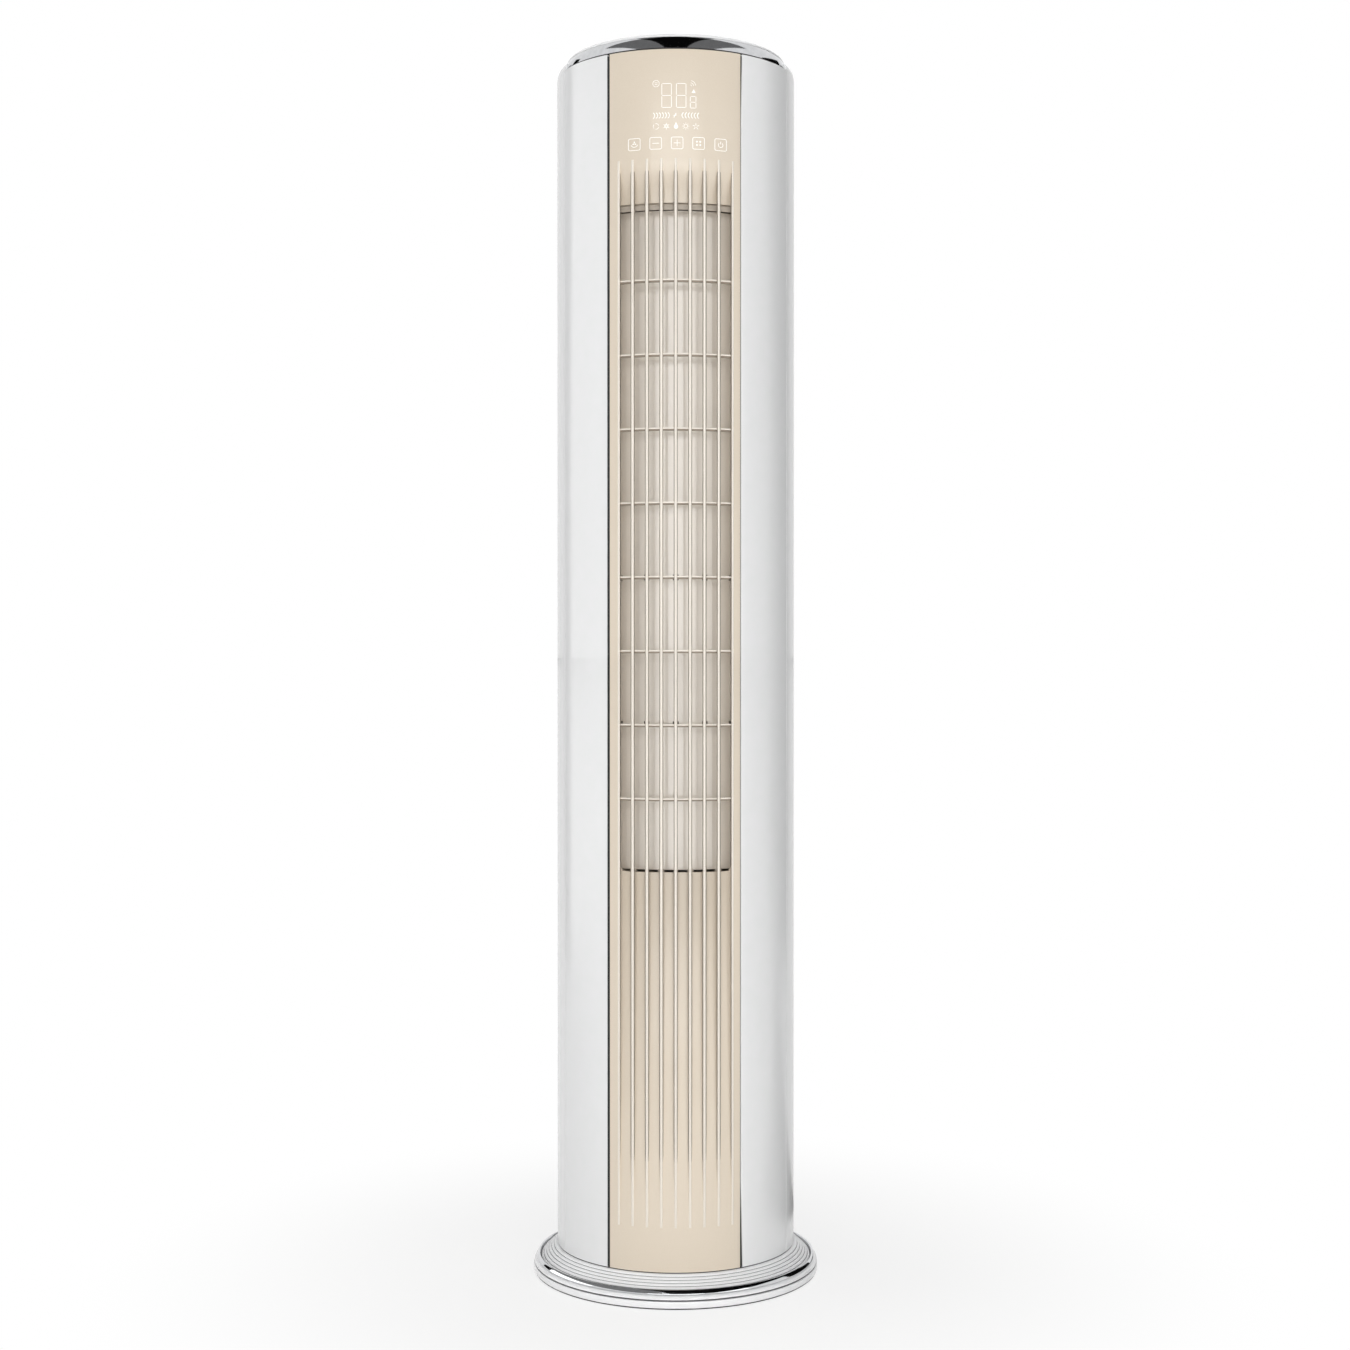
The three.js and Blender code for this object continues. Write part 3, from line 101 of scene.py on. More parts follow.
# Picks the vertices, edges or faces of the piece in edit mode whose middle passes the test.
def pick(piece, kind, test):
    bpy.ops.mesh.select_mode(type=kind)
    bpy.ops.mesh.select_all(action="DESELECT")
    form = bmesh.from_edit_mesh(piece.data)
    parts = {"VERT": form.verts, "EDGE": form.edges, "FACE": form.faces}[kind]
    for part in parts:
        if kind == "VERT":
            middle = part.co
        elif kind == "EDGE":
            middle = (part.verts[0].co + part.verts[1].co) / 2
        else:
            middle = part.calc_center_median()
        if test(middle):
            part.select_set(True)
    form.select_flush_mode()
    bmesh.update_edit_mesh(piece.data)


def cutPlane(place, normal, drop=None):
    selectAll()
    bpy.ops.mesh.bisect(plane_co=place, plane_no=normal, use_fill=False,
                        clear_inner=drop == "behind", clear_outer=drop == "ahead")


# Moves what is picked, in millimetres.
def shift(x=0, y=0, z=0):
    bpy.ops.transform.translate(value=(x * mm, y * mm, z * mm))


# Scales what is picked about a point, the same across and along, or as given.
def shrink(share, y=None, z=1, about=(0, 0, 0)):
    bpy.ops.transform.resize(value=(share, share if y is None else y, z), center_override=about)


# Extrudes what is picked by a rise in millimetres and draws it in towards the column's axis.
def extrudeIn(share, rise=0):
    bpy.ops.mesh.extrude_region_move(TRANSFORM_OT_translate={"value": (0, 0, rise * mm)})
    shrink(share)


def dropFaces():
    bpy.ops.mesh.delete(type="FACE")


def settle(piece):
    useOnly(piece)
    bpy.ops.object.transform_apply(location=True, rotation=True, scale=True)


# A new primitive under a name of its own, with its place and size in its mesh.
def begin(name, primitive, **settings):
    deselectAll()
    primitive(**settings)
    piece = newPiece(name)
    settle(piece)
    return piece


def outward(piece):
    useOnly(piece)
    editOn()
    selectAll()
    bpy.ops.mesh.remove_doubles(threshold=0.00001)
    bpy.ops.mesh.normals_make_consistent(inside=False)
    editOff()


def modify(piece, kind, **settings):
    useOnly(piece)
    change = piece.modifiers.new(kind.lower(), kind)
    for key, value in settings.items():
        setattr(change, key, value)
    bpy.ops.object.modifier_apply(modifier=change.name)


# Gives a skin its wall, on the inner side.
def thicken(piece, thickness, **settings):
    outward(piece)
    modify(piece, "SOLIDIFY", thickness=thickness * mm, offset=-1, **settings)


def roundEdges(piece, width, segments=2):
    modify(piece, "BEVEL", width=width * mm, segments=segments, limit_method="ANGLE",
           angle_limit=math.radians(50))


def smooth(piece, angle=35):
    useOnly(piece)
    bpy.ops.object.shade_smooth_by_angle(angle=math.radians(angle))


def wall(piece, thickness, edge):
    thicken(piece, thickness, use_quality_normals=True)
    roundEdges(piece, edge, 3)
    smooth(piece)


def copyOf(piece, name):
    twin = piece.copy()
    twin.data = piece.data.copy()
    twin.name = name
    twin.data.name = name
    bpy.context.scene.collection.objects.link(twin)
    return twin


def joinAll(name, pieces):
    deselectAll()
    for piece in pieces:
        piece.select_set(True)
    bpy.context.view_layer.objects.active = pieces[0]
    bpy.ops.object.join()
    return newPiece(name)


# How far forward a round of that radius lies at a distance across, in millimetres.
def faceY(radius, x):
    return -math.sqrt(radius * radius - x * x)


# Ring drawn as one circle that is extruded from point to point of its profile and closed.
def ring(name, profile, steps=192, closed=True):
    radius, height = profile[0]
    piece = begin(name, bpy.ops.mesh.primitive_circle_add, vertices=steps, radius=radius * mm,
                  fill_type="NOTHING" if closed else "NGON", location=(0, 0, height * mm))
    editOn("EDGE")
    selectAll()
    for nextRadius, nextHeight in profile[1:] + ([profile[0]] if closed else []):
        extrudeIn(nextRadius / radius if nextRadius else 1, nextHeight - height)
        if nextRadius == 0:
            bpy.ops.mesh.merge(type="CENTER")
            break
        radius, height = nextRadius, nextHeight
    editOff()
    outward(piece)
    smooth(piece)
    return piece


# Points of a quarter round in a profile, from its upright outer end in to its level top end.
def quarterRound(outer, low, inner, high, steps=8):
    points = []
    for step in range(steps + 1):
        turn = math.pi / 2 * step / steps
        points.append((inner + (outer - inner) * math.cos(turn),
                       low + (high - low) * math.sin(turn)))
    return points


# Materials

def colour(hexText):
    values = [int(hexText[place:place + 2], 16) / 255 for place in (1, 3, 5)]
    linear = [v / 12.92 if v <= 0.04045 else ((v + 0.055) / 1.055) ** 2.4 for v in values]
    return (*linear, 1)


def addNode(tree, kind, settings=None, links=None):
    node = tree.nodes.new(kind)
    for key, value in (settings or {}).items():
        if key in node.inputs:
            node.inputs[key].default_value = value
        else:
            setattr(node, key, value)
    for key, source in (links or {}).items():
        tree.links.new(source, node.inputs[key])
    return node


# A material, or the world, with an empty tree.
def emptyTree(thing):
    thing.use_nodes = True
    thing.node_tree.nodes.clear()
    return thing, thing.node_tree


# A finish is a shader, a fine pattern that stirs its colour and roughness, and a relief. Grain is
# the pattern's size, relief its strength and height, in millimetres, and coat weight and roughness.
def finish(name, dark, light, grain, rough, relief=None, metallic=0.0, ior=1.5, coat=(0.0, 0.05),
           glow=0.0, pattern="noise", across="Z", waver=0.0, stretch=(1, 1, 1)):
    material, tree = emptyTree(bpy.data.materials.new(name))
    place = addNode(tree, "ShaderNodeTexCoord")
    vector = {"Vector": addNode(tree, "ShaderNodeMapping", {"Scale": stretch},
                                {"Vector": place.outputs["Object"]}).outputs["Vector"]}
    size = grain * mm
    if pattern == "cells":
        value = addNode(tree, "ShaderNodeTexVoronoi", {"Scale": 1 / size},
                        vector).outputs["Distance"]
    elif pattern == "lines":
        bandPitch = 0.314  # of a wave texture at scale one, in metres
        value = addNode(tree, "ShaderNodeTexWave", {
            "bands_direction": across, "Scale": bandPitch / size, "Distortion": waver,
        }, vector).outputs["Fac"]
    else:
        value = addNode(tree, "ShaderNodeTexNoise", {
            "Scale": 1 / size, "Detail": 3.0, "Roughness": 0.55}, vector).outputs["Fac"]
    ramp = addNode(tree, "ShaderNodeValToRGB", links={"Fac": value})
    for end, position, hexText in zip(ramp.color_ramp.elements, (0.3, 0.7), (dark, light)):
        end.position = position
        end.color = colour(hexText)
    sheen = addNode(tree, "ShaderNodeMapRange", {"To Min": rough[0], "To Max": rough[1]},
                    {"Value": value})
    settings = {"Metallic": metallic, "Coat Weight": coat[0], "Coat Roughness": coat[1]}
    links = {"Base Color": ramp.outputs["Color"], "Roughness": sheen.outputs["Result"]}
    if metallic < 1:
        settings["IOR"] = ior
    if glow:
        settings["Emission Strength"] = glow
        links["Emission Color"] = ramp.outputs["Color"]
    if relief:
        links["Normal"] = addNode(tree, "ShaderNodeBump", {
            "Strength": relief[0], "Distance": relief[1] * mm}, {"Height": value}).outputs["Normal"]
    shader = addNode(tree, "ShaderNodeBsdfPrincipled", settings, links)
    addNode(tree, "ShaderNodeOutputMaterial", links={"Surface": shader.outputs["BSDF"]})
    return material


# Sizes in millimetres that several pieces share
column = {"radius": 175, "low": 42.3, "high": 1754, "rearSeam": 66.5}
# Turns of the two front seams: edge of the front panel and edge of the side panel
seams = {"left": (-32.1, -33.6), "right": (31.3, 31.85)}


def seamCut(angle):
    turn = math.radians(angle)
    cutPlane((0, 0, 0), (math.cos(turn), math.sin(turn), 0))


# Turn of a point about the column, from the front towards the right.
def turnOf(point):
    return math.degrees(math.atan2(point.x, -point.y))


# The point at such a turn, at a distance from the column's axis.
def around(turn, far, height):
    return (far * math.sin(math.radians(turn)), -far * math.cos(math.radians(turn)), height)


# Sheet of the column between two turns, as an open skin that stands on the column's round.
def columnSkin(name, start, end, rows, radius, steps=240):
    low, high = rows[0], rows[-1]
    piece = begin(name, bpy.ops.mesh.primitive_cylinder_add, vertices=steps, radius=radius * mm,
                  depth=(high - low) * mm, end_fill_type="NOTHING",
                  location=(0, 0, (low + high) / 2 * mm))
    editOn()
    seamCut(start)
    seamCut(end)
    pick(piece, "FACE", lambda p: not start < turnOf(p) % 360 < end
         if end > 180 else not start < turnOf(p) < end)
    dropFaces()
    for row in rows[1:-1]:
        cutPlane((0, 0, row * mm), (0, 0, 1))
    return piece


# A band of such a skin between two heights, with its wall.
def band(name, start, end, low, high, radius, thickness, steps=240):
    piece = columnSkin(name, start, end, [low, high], radius, steps)
    editOff()
    thicken(piece, thickness)
    return piece


# Turns the skin's side edges, and its top edge if asked, inwards. The start edge may lean by
# some degrees, so the edges across at the rows' heights are left out.
def foldEdges(piece, start, end, side, top, radius, high, rows=(), lean=0):
    near = 0.02  # degrees
    for limit, reach in ((start, lean + near), (end, near)):
        pick(piece, "EDGE", lambda p: -near < (turnOf(p) - limit + 180) % 360 - 180 < reach
             and all(abs(p.z - row * mm) > 10 * hair for row in rows))
        extrudeIn((radius - side) / radius)
    if top:
        pick(piece, "EDGE", lambda p: p.z > high * mm - hair and p.xy.length > (radius - 1) * mm)
        extrudeIn((radius - top) / radius)


# The right panel stands off the seam at its ends: from a height to an end's height, in degrees.
sidePanel = {"wall": 2.6, "fold": 12, "topFold": 6.6, "edge": 0.7, "rearGap": 0.5,
             "rows": [400, 800, 1200], "standsOff": [(165, 42.3, 1.0), (1665, 1754, 0.6)]}


# Trims a panel's front edge along a slant that starts at one height and ends at another.
def slantCut(turn, start, end, off):
    away = math.radians(off) * column["radius"]
    aim = math.radians(turn)
    along = end - start
    side = Vector((math.cos(aim), math.sin(aim), 0)) * abs(along)
    normal = side + Vector((0, 0, -away * math.copysign(1, along)))
    cutPlane(around(turn, column["radius"] * mm, start * mm), normal.normalized(), "behind")


def sidePanels(look):
    rear = column["rearSeam"] - math.degrees(look["rearGap"] / column["radius"])
    rows = [column["low"], *look["rows"], column["high"]]
    panels = []
    for name, start, end in (("sidePanelLeft", -rear, seams["left"][1]),
                             ("sidePanelRight", seams["right"][1], rear)):
        panel = columnSkin(name, start, end, rows, column["radius"])
        lean = 0
        if start > 0:
            for low, high, off in look["standsOff"]:
                slantCut(start, low, high, off)
                lean = max(lean, off)
        foldEdges(panel, start, end, look["fold"], look["topFold"], column["radius"],
                  column["high"], rows, lean)
        editOff()
        wall(panel, look["wall"], look["edge"])
        panels.append(panel)
    return panels


leftPanel, rightPanel = sidePanels(sidePanel)
print("side panels made")

# The recess curves in above the outlet and comes out again on a long slope below it.
grille = {
    "halfWidth": 81.5, "depth": 14, "openDepth": 8.5, "top": 1602, "outletTop": 1542.8,
    "outletLow": 602.7, "low": 105, "corner": 14, "wall": 2.6, "fold": 12, "topFold": 6.6,
    "edge": 0.6, "rampSteps": 16, "openRows": [900, 1200], "ribs": 7, "ribPitch": 20.2,
    "lipWidth": 3.2, "lipOut": 0.3, "bars": 8, "firstBar": 706.56, "barPitch": 103.86,
}
# Pale noses stand before darker webs, whose dark tone is painted shade: a thin line beside each
# nose.
# The noses' paler lacquer is a painted highlight on the bars.
noses = {"name": "grilleNoses", "width": 3.9, "sideWidth": 3.2, "nose": 1.8, "proud": 0.9,
         "barHeight": 2.2, "barInset": 2.6, "barDrop": 0}
# The webs' crossbars sit lower, so their painted shade also lines the underside of each crossbar.
webs = {"name": "grilleShadeWebs", "width": 5.5, "sideWidth": 4.4, "nose": 0.7, "proud": -2.6,
        "barHeight": 3.0, "barInset": 4.6, "barDrop": 1.9}


def recessDepth(z):
    if z >= grille["outletTop"]:
        share = (grille["top"] - z) / (grille["top"] - grille["outletTop"])
        share = min(max(share, 0), 1)
        return grille["depth"] * share * share * (3 - 2 * share)
    share = (z - grille["low"]) / (grille["outletLow"] - grille["low"])
    return grille["depth"] * min(max(share, 0), 1)


def rampRows():
    steps = grille["rampSteps"]
    return [grille["outletTop"] + (grille["top"] - grille["outletTop"]) * step / steps
            for step in range(steps + 1)]


# The panel is pressed back row by row, opened at the outlet, and its lower corners are rounded.
def frontSkin(look):
    start, end = seams["left"][0], seams["right"][0]
    outletLow, corner = look["outletLow"], look["corner"]
    rows = [column["low"], look["low"], 300, outletLow, outletLow + 20, *look["openRows"],
            *rampRows(), 1680, column["high"]]
    panel = columnSkin("frontPanel", start, end, rows, column["radius"])
    side = look["halfWidth"]
    inside = side - 0.06
    cornerCuts = [inside - corner * share for share in (0.06, 0.2, 0.4, 0.65, 1)]
    for across in (side, inside, *cornerCuts):
        for place in (-across, across):
            cutPlane((place * mm, 0, 0), (1, 0, 0))
    foldEdges(panel, start, end, look["fold"], look["topFold"], column["radius"], column["high"])
    for row in rows:
        depth = recessDepth(row)
        if depth > 0:
            pick(panel, "VERT", lambda p: abs(p.z - row * mm) < hair
                 and abs(p.x) < inside * mm + hair and p.y < -140 * mm)
            shift(y=depth)
    pick(panel, "FACE", lambda p: abs(p.x) < inside * mm and p.y < -120 * mm
         and outletLow * mm < p.z < look["outletTop"] * mm)
    dropFaces()
    for across in (inside, *cornerCuts[:-1]):
        away = corner - (inside - across)
        pick(panel, "VERT", lambda p: abs(abs(p.x) - across * mm) < 2 * hair
             and abs(p.z - outletLow * mm) < hair and p.y > -172 * mm)
        shift(z=corner - math.sqrt(max(corner ** 2 - away ** 2, 0)))
    editOff()
    wall(panel, look["wall"], look["edge"])
    return panel


# Upright bar whose back follows the recess, a little way into its floor.
def masterRib(width, proud, nose):
    look = grille
    front = -(column["radius"] + proud)
    length = look["top"] - look["low"]
    depth, sunk, near = 3, 1.5, 6
    rib = begin("rib", bpy.ops.mesh.primitive_cube_add, size=1,
                location=(0, (front + depth / 2) * mm, (look["low"] + length / 2) * mm),
                scale=(width * mm, depth * mm, length * mm))
    editOn()
    free = [look["outletLow"] + near, *look["openRows"], look["outletTop"] - near]
    rows = [look["outletLow"], *free, *rampRows()[:-1]]
    for row in rows:
        cutPlane((0, 0, row * mm), (0, 0, 1))
    for row in [look["low"], *rows, look["top"]]:
        back = -column["radius"] + (look["openDepth"] if row in free else recessDepth(row) + sunk)
        pick(rib, "VERT", lambda p: abs(p.z - row * mm) < hair and p.y > (front + 2) * mm)
        shift(y=back - front - depth)
    pick(rib, "EDGE", lambda p: p.y < front * mm + hair and abs(p.x) > width / 2 * mm - hair)
    bpy.ops.mesh.bevel(offset=nose * mm, segments=5, affect="EDGES")
    editOff()
    return rib


# Each line of the bar moves back so that the nose leans with the column's round.
def placeRib(master, name, x):
    rib = copyOf(master, name)
    back = faceY(column["radius"], x) + column["radius"]
    lean = math.tan(math.asin(x / column["radius"]))
    lines = sorted({round(point.co.x / mm, 2) for point in rib.data.vertices})
    useOnly(rib)
    editOn()
    for line in lines:
        pick(rib, "VERT", lambda p: abs(p.x / mm - line) < 0.006)
        shift(y=line * lean)
    editOff()
    rib.location = (x * mm, back * mm, 0)
    settle(rib)
    return rib


# Set of bars at the ribs' places with a bar on each side of the recess, and the crossbars.
def grilleBars(look):
    pieces = []
    middle = masterRib(look["width"], look["proud"], look["nose"])
    edge = masterRib(look["sideWidth"], look["proud"], look["nose"] * 0.76)
    for count in range(grille["ribs"]):
        across = (count - (grille["ribs"] - 1) / 2) * grille["ribPitch"]
        pieces.append(placeRib(middle, f"rib{count + 1}", across))
    lip = grille["halfWidth"] - grille["lipWidth"] / 2 + grille["lipOut"]
    for name, across in (("lipLeft", -lip), ("lipRight", lip)):
        pieces.append(placeRib(edge, name, across))
    bpy.data.objects.remove(middle)
    bpy.data.objects.remove(edge)
    inner = column["radius"] - look["barInset"]
    half = math.degrees(math.asin(grille["halfWidth"] / inner)) + 0.1
    low = grille["firstBar"] - look["barHeight"] / 2 - look["barDrop"]
    bar = band("crossbar", -half, half, low, low + look["barHeight"], inner,
               grille["openDepth"] - look["barInset"], 360)
    roundEdges(bar, 0.4)
    for count in range(grille["bars"]):
        twin = copyOf(bar, f"crossbar{count + 1}")
        twin.location = (0, 0, count * grille["barPitch"] * mm)
        settle(twin)
        pieces.append(twin)
    bpy.data.objects.remove(bar)
    whole = joinAll(look["name"], pieces)
    smooth(whole, 40)
    return whole


# Strip behind the outlet's upper edge, clear of the vanes, which closes the view over them.
outletStrip = {"radius": 163.4, "low": 1532.5, "high": 1540.2, "half": 28.8, "wall": 1.4}


def outletBaffle(look):
    strip = band("outletBaffle", -look["half"], look["half"], look["low"], look["high"],
                 look["radius"], look["wall"])
    roundEdges(strip, 0.5)
    smooth(strip)
    return strip


frontPanel = frontSkin(grille)
baffle = outletBaffle(outletStrip)
grilleNoses = grilleBars(noses)
grilleShadeWebs = grilleBars(webs)


# Black strip that fills a front seam below the panels' edges.
def seamSeal(name, start, end, radius):
    start, end, fold, steps = start + 0.02, end - 0.02, 7, 720
    strip = columnSkin(name, start, end, [column["low"] + 1, column["high"] - 2], radius, steps)
    foldEdges(strip, start, end, fold, 0, radius, column["high"])
    editOff()
    thicken(strip, 0.25)
    smooth(strip)
    return strip


seals = [seamSeal("seamSealLeft", seams["left"][1], seams["left"][0], 174.2),
         seamSeal("seamSealRight", seams["right"][0],
                  seams["right"][1] + sidePanel["standsOff"][0][2] + 0.1, 173.2)]
print("front panel made")


# The base: a stepped rim, a chrome ring, and a collar of rounded steps up to the column.
# Profiles are lists of radius and height. A step of the collar is a list of share and bulge.
baseSizes = {
    "outer": 210, "inner": 206.5, "foot": 2, "step": 13, "top": 20, "ledge": 17.2, "skin": 3,
    "rimIn": 7.7, "ledgeIn": 23.5,
    "trim": [(199.4, 17.5), (202.2, 17.5), (202.2, 19.6), (204.8, 19.6), (205.35, 20.1),
             (205.5, 20.9), (205.35, 21.7), (204.85, 22.9), (204.25, 24.1), (203.6, 25.2),
             (203.0, 25.9), (202.3, 26.3), (201.5, 26.1), (200.8, 25.3), (200.1, 23.9),
             (199.5, 22.0)],
    "seal": [(167, 38.5), (174.4, 38.5), (174.4, 42.0), (173.9, 42.2), (167, 42.2)],
    "underside": [(204, 0.5), (207.6, 0.5), (208.6, 1.2), (208.4, 2.1), (204, 2.1)],
    "collarLow": 21.1, "collarTop": 40.9, "collarFoot": 17.5, "collarOuter": 199.1,
    "collarInner": 176.5, "collarHole": 166, "collarSteps": 6,
    "collarStep": [(0, -1.7), (0.07, 0.1), (0.16, 0.6), (0.3, 0.95), (0.5, 1.1), (0.7, 0.95),
                   (0.84, 0.6), (0.93, 0.1)],
}


def baseRim(look):
    outer, foot, step = look["outer"], look["foot"], look["step"]
    low = look["ledge"] - look["skin"]
    profile = [(look["inner"], foot), (outer - 2.2, foot), (outer - 1.2, foot + 0.35),
               (outer - 0.4, foot + 1.1), (outer, foot + 2.2), (outer, step - 1.9),
               (outer - 0.25, step - 1.3), (outer - 2.7, step - 0.9), (outer - 2.7, step + 0.7)]
    profile += quarterRound(outer - 0.8, step + 1.3, outer - look["rimIn"], look["top"] - 0.6, 14)
    profile += [(outer - look["rimIn"], look["ledge"]), (outer - look["ledgeIn"], look["ledge"]),
                (outer - look["ledgeIn"], low), (look["inner"], low)]
    return ring("baseRim", profile)


# How far in and up each of the collar's steps goes.
def collarPitch(look):
    return ((look["collarOuter"] - look["collarInner"]) / look["collarSteps"],
            (look["collarTop"] - look["collarLow"]) / look["collarSteps"])


def baseCollar(look):
    run, rise = collarPitch(look)
    length = math.hypot(run, rise)
    outer, inner, top, skin = (look["collarOuter"], look["collarInner"], look["collarTop"],
                               look["skin"])
    profile = [(outer - skin, look["collarFoot"]), (outer, look["collarFoot"])]
    for step in range(look["collarSteps"]):
        for share, bulge in look["collarStep"]:
            profile.append((outer - (step + share) * run + bulge * rise / length,
                            look["collarLow"] + (step + share) * rise + bulge * run / length))
    profile += [(inner, top), (look["collarHole"], top), (look["collarHole"], top - skin),
                (inner - skin, top - skin), (outer - skin, look["collarLow"] - skin / 2)]
    return ring("baseCollar", profile)


# Grey lines laid in the collar's grooves and in the rim's step: painted shade of those grooves.
def collarShadeLines(look):
    run, rise = collarPitch(look)
    lines = []
    for step in range(1, look["collarSteps"]):
        outer, low = look["collarOuter"] - step * run, look["collarLow"] + step * rise
        across, up, deep, down = 0.42, 0.37, 1.1, 1.2
        lines.append(ring(f"collarShadeLine{step}", [
            (outer + across - deep, low - up - down), (outer + across, low - up),
            (outer - across, low + up), (outer - across - deep, low + up - down)]))
    outer, inner, half = look["outer"] - 1.5, look["outer"] - 3.2, 0.8
    low, high = look["step"] - half, look["step"] + half
    lines.append(ring("rimShadeLine", [(inner, low), (outer, low), (outer, high), (inner, high)]))
    return joinAll("collarShadeLines", lines)


# Black rings under the panels' lower edges and, as painted shade, in the gap under the rim.
def footSealAndShadeRing(look):
    under = ring("rimGapShade", look["underside"])
    return joinAll("footSealAndShadeRing", [ring("footSealAndShadeRing", look["seal"]), under])


rim = baseRim(baseSizes)
grooveShadeLines = collarShadeLines(baseSizes)
footSealAndShade = footSealAndShadeRing(baseSizes)
baseTrim = ring("baseTrimRing", baseSizes["trim"])
collar = baseCollar(baseSizes)

padSizes = {"count": 4, "radius": 13, "height": 4.7, "out": 172, "rim": 3, "bevelIn": 0.6,
            "hollow": 1, "edge": 0.8}


def footPads(look):
    master = begin("footPad", bpy.ops.mesh.primitive_cylinder_add, vertices=40,
                   radius=look["radius"] * mm, depth=look["height"] * mm,
                   location=(0, -look["out"] * mm, look["height"] / 2 * mm))
    editOn("FACE")
    pick(master, "FACE", lambda p: p.z < 10 * hair)
    bpy.ops.mesh.inset(thickness=look["rim"] * mm)
    bpy.ops.mesh.inset(thickness=look["bevelIn"] * mm)
    shift(z=look["hollow"])
    editOff()
    roundEdges(master, look["edge"], 3)
    smooth(master)
    pads = []
    for count in range(look["count"]):
        pad = copyOf(master, f"footPad{count + 1}")
        pad.rotation_euler = (0, 0, math.radians(45 + 360 / look["count"] * count))
        settle(pad)
        pads.append(pad)
    bpy.data.objects.remove(master)
    return pads


pads = footPads(padSizes)
print("base made")

# The top: a chrome ring that leans in over the panels, and a shallow lid with a rounded edge.
# The ring's lean is a curve between three points, and a black ring fills the gap under it.
topSizes = {
    "lean": [(167.7, 1754), (166.6, 1768.5), (160.5, 1775.3)], "leanSteps": 12,
    "foot": [(150.7, 1748), (167.7, 1748)],
    "inside": [(148.5, 1775.3), (148.5, 1772.3), (157.5, 1772.3), (161.7, 1751), (150.7, 1751)],
    "seal": [(167.9, 1754.1), (171.2, 1754.1), (171.2, 1756.4), (170.6, 1757.2),
             (169.4, 1757.5), (167.9, 1757.5)],
    "capOuter": 160.5, "capLow": 1775.6, "capEdge": 1776.9, "crownOuter": 152.5,
    "crownLow": 1780.6, "crownHigh": 1784, "crownRings": (140, 120, 95, 65, 35, 12, 0),
}


def topTrimRing(look):
    lean = []
    for step in range(look["leanSteps"] + 1):
        t = step / look["leanSteps"]
        lean.append(tuple((1 - t) ** 2 * a + 2 * t * (1 - t) * b + t * t * c
                          for a, b, c in zip(*look["lean"])))
    return ring("topTrimRing", [*look["foot"], *lean, *look["inside"]])


def topCap(look):
    profile = [(look["capOuter"], look["capLow"])]
    profile += quarterRound(look["capOuter"], look["capEdge"], look["crownOuter"],
                            look["crownLow"], 10)
    crown = look["crownHigh"] - look["crownLow"]
    for radius in look["crownRings"]:
        profile.append((radius, look["crownHigh"] - crown * (radius / look["crownOuter"]) ** 2))
    return ring("topCap", profile, closed=False)


topTrim = topTrimRing(topSizes)
topSeal = ring("topSealRing", topSizes["seal"])
cap = topCap(topSizes)
print("top made")


# The back: one sheet with a rounded shoulder, and a pocket for each of the two intakes
rearSheet = {
    "wall": 1.8, "fold": 12, "edge": 0.5, "shoulderTop": 1765, "shoulderIn": 168.3,
    "half": 50, "pocket": 8, "ledge": 6, "intakes": [(622, 1059), (1089, 1526)],
}


def rearCasing(look):
    radius = column["radius"]
    start = column["rearSeam"] + math.degrees(sidePanel["rearGap"] / radius)
    end = 360 - start
    top = column["high"] - 3
    heights = [height for pair in look["intakes"] for height in pair]
    shell = columnSkin("rearCasing", start, end, [column["low"], *heights, top], radius)
    for turn in (180 - look["half"], 180 + look["half"]):
        seamCut(turn)
    foldEdges(shell, start, end, look["fold"], 0, radius, top)
    pick(shell, "EDGE", lambda p: p.z > top * mm - hair and p.xy.length > (radius - 1) * mm)
    lastRadius, lastHeight = radius, top
    for nextRadius, nextHeight in quarterRound(radius, top, look["shoulderIn"],
                                               look["shoulderTop"], 8)[1:]:
        extrudeIn(nextRadius / lastRadius, nextHeight - lastHeight)
        lastRadius, lastHeight = nextRadius, nextHeight
    for low, high in look["intakes"]:
        pick(shell, "FACE", lambda p: low * mm < p.z < high * mm
             and abs(turnOf(p) % 360 - 180) < look["half"] and p.xy.length > (radius - 1) * mm)
        extrudeIn((radius - look["pocket"]) / radius)
        bpy.ops.mesh.inset(thickness=look["ledge"] * mm)
        dropFaces()
    editOff()
    wall(shell, look["wall"], look["edge"])
    return shell


casing = rearCasing(rearSheet)
print("rear casing made")

# A cassette is a curved frame with upright bars and fine level slats before the filter.
cassetteSizes = {"half": 49.6, "inset": 1, "border": 11, "depth": 6, "edge": 0.7, "rail": 5,
                 "bars": 10, "barWidth": 5, "slats": 54, "slat": 1.4, "slatDepth": 1.2,
                 "slatIn": 4.4}


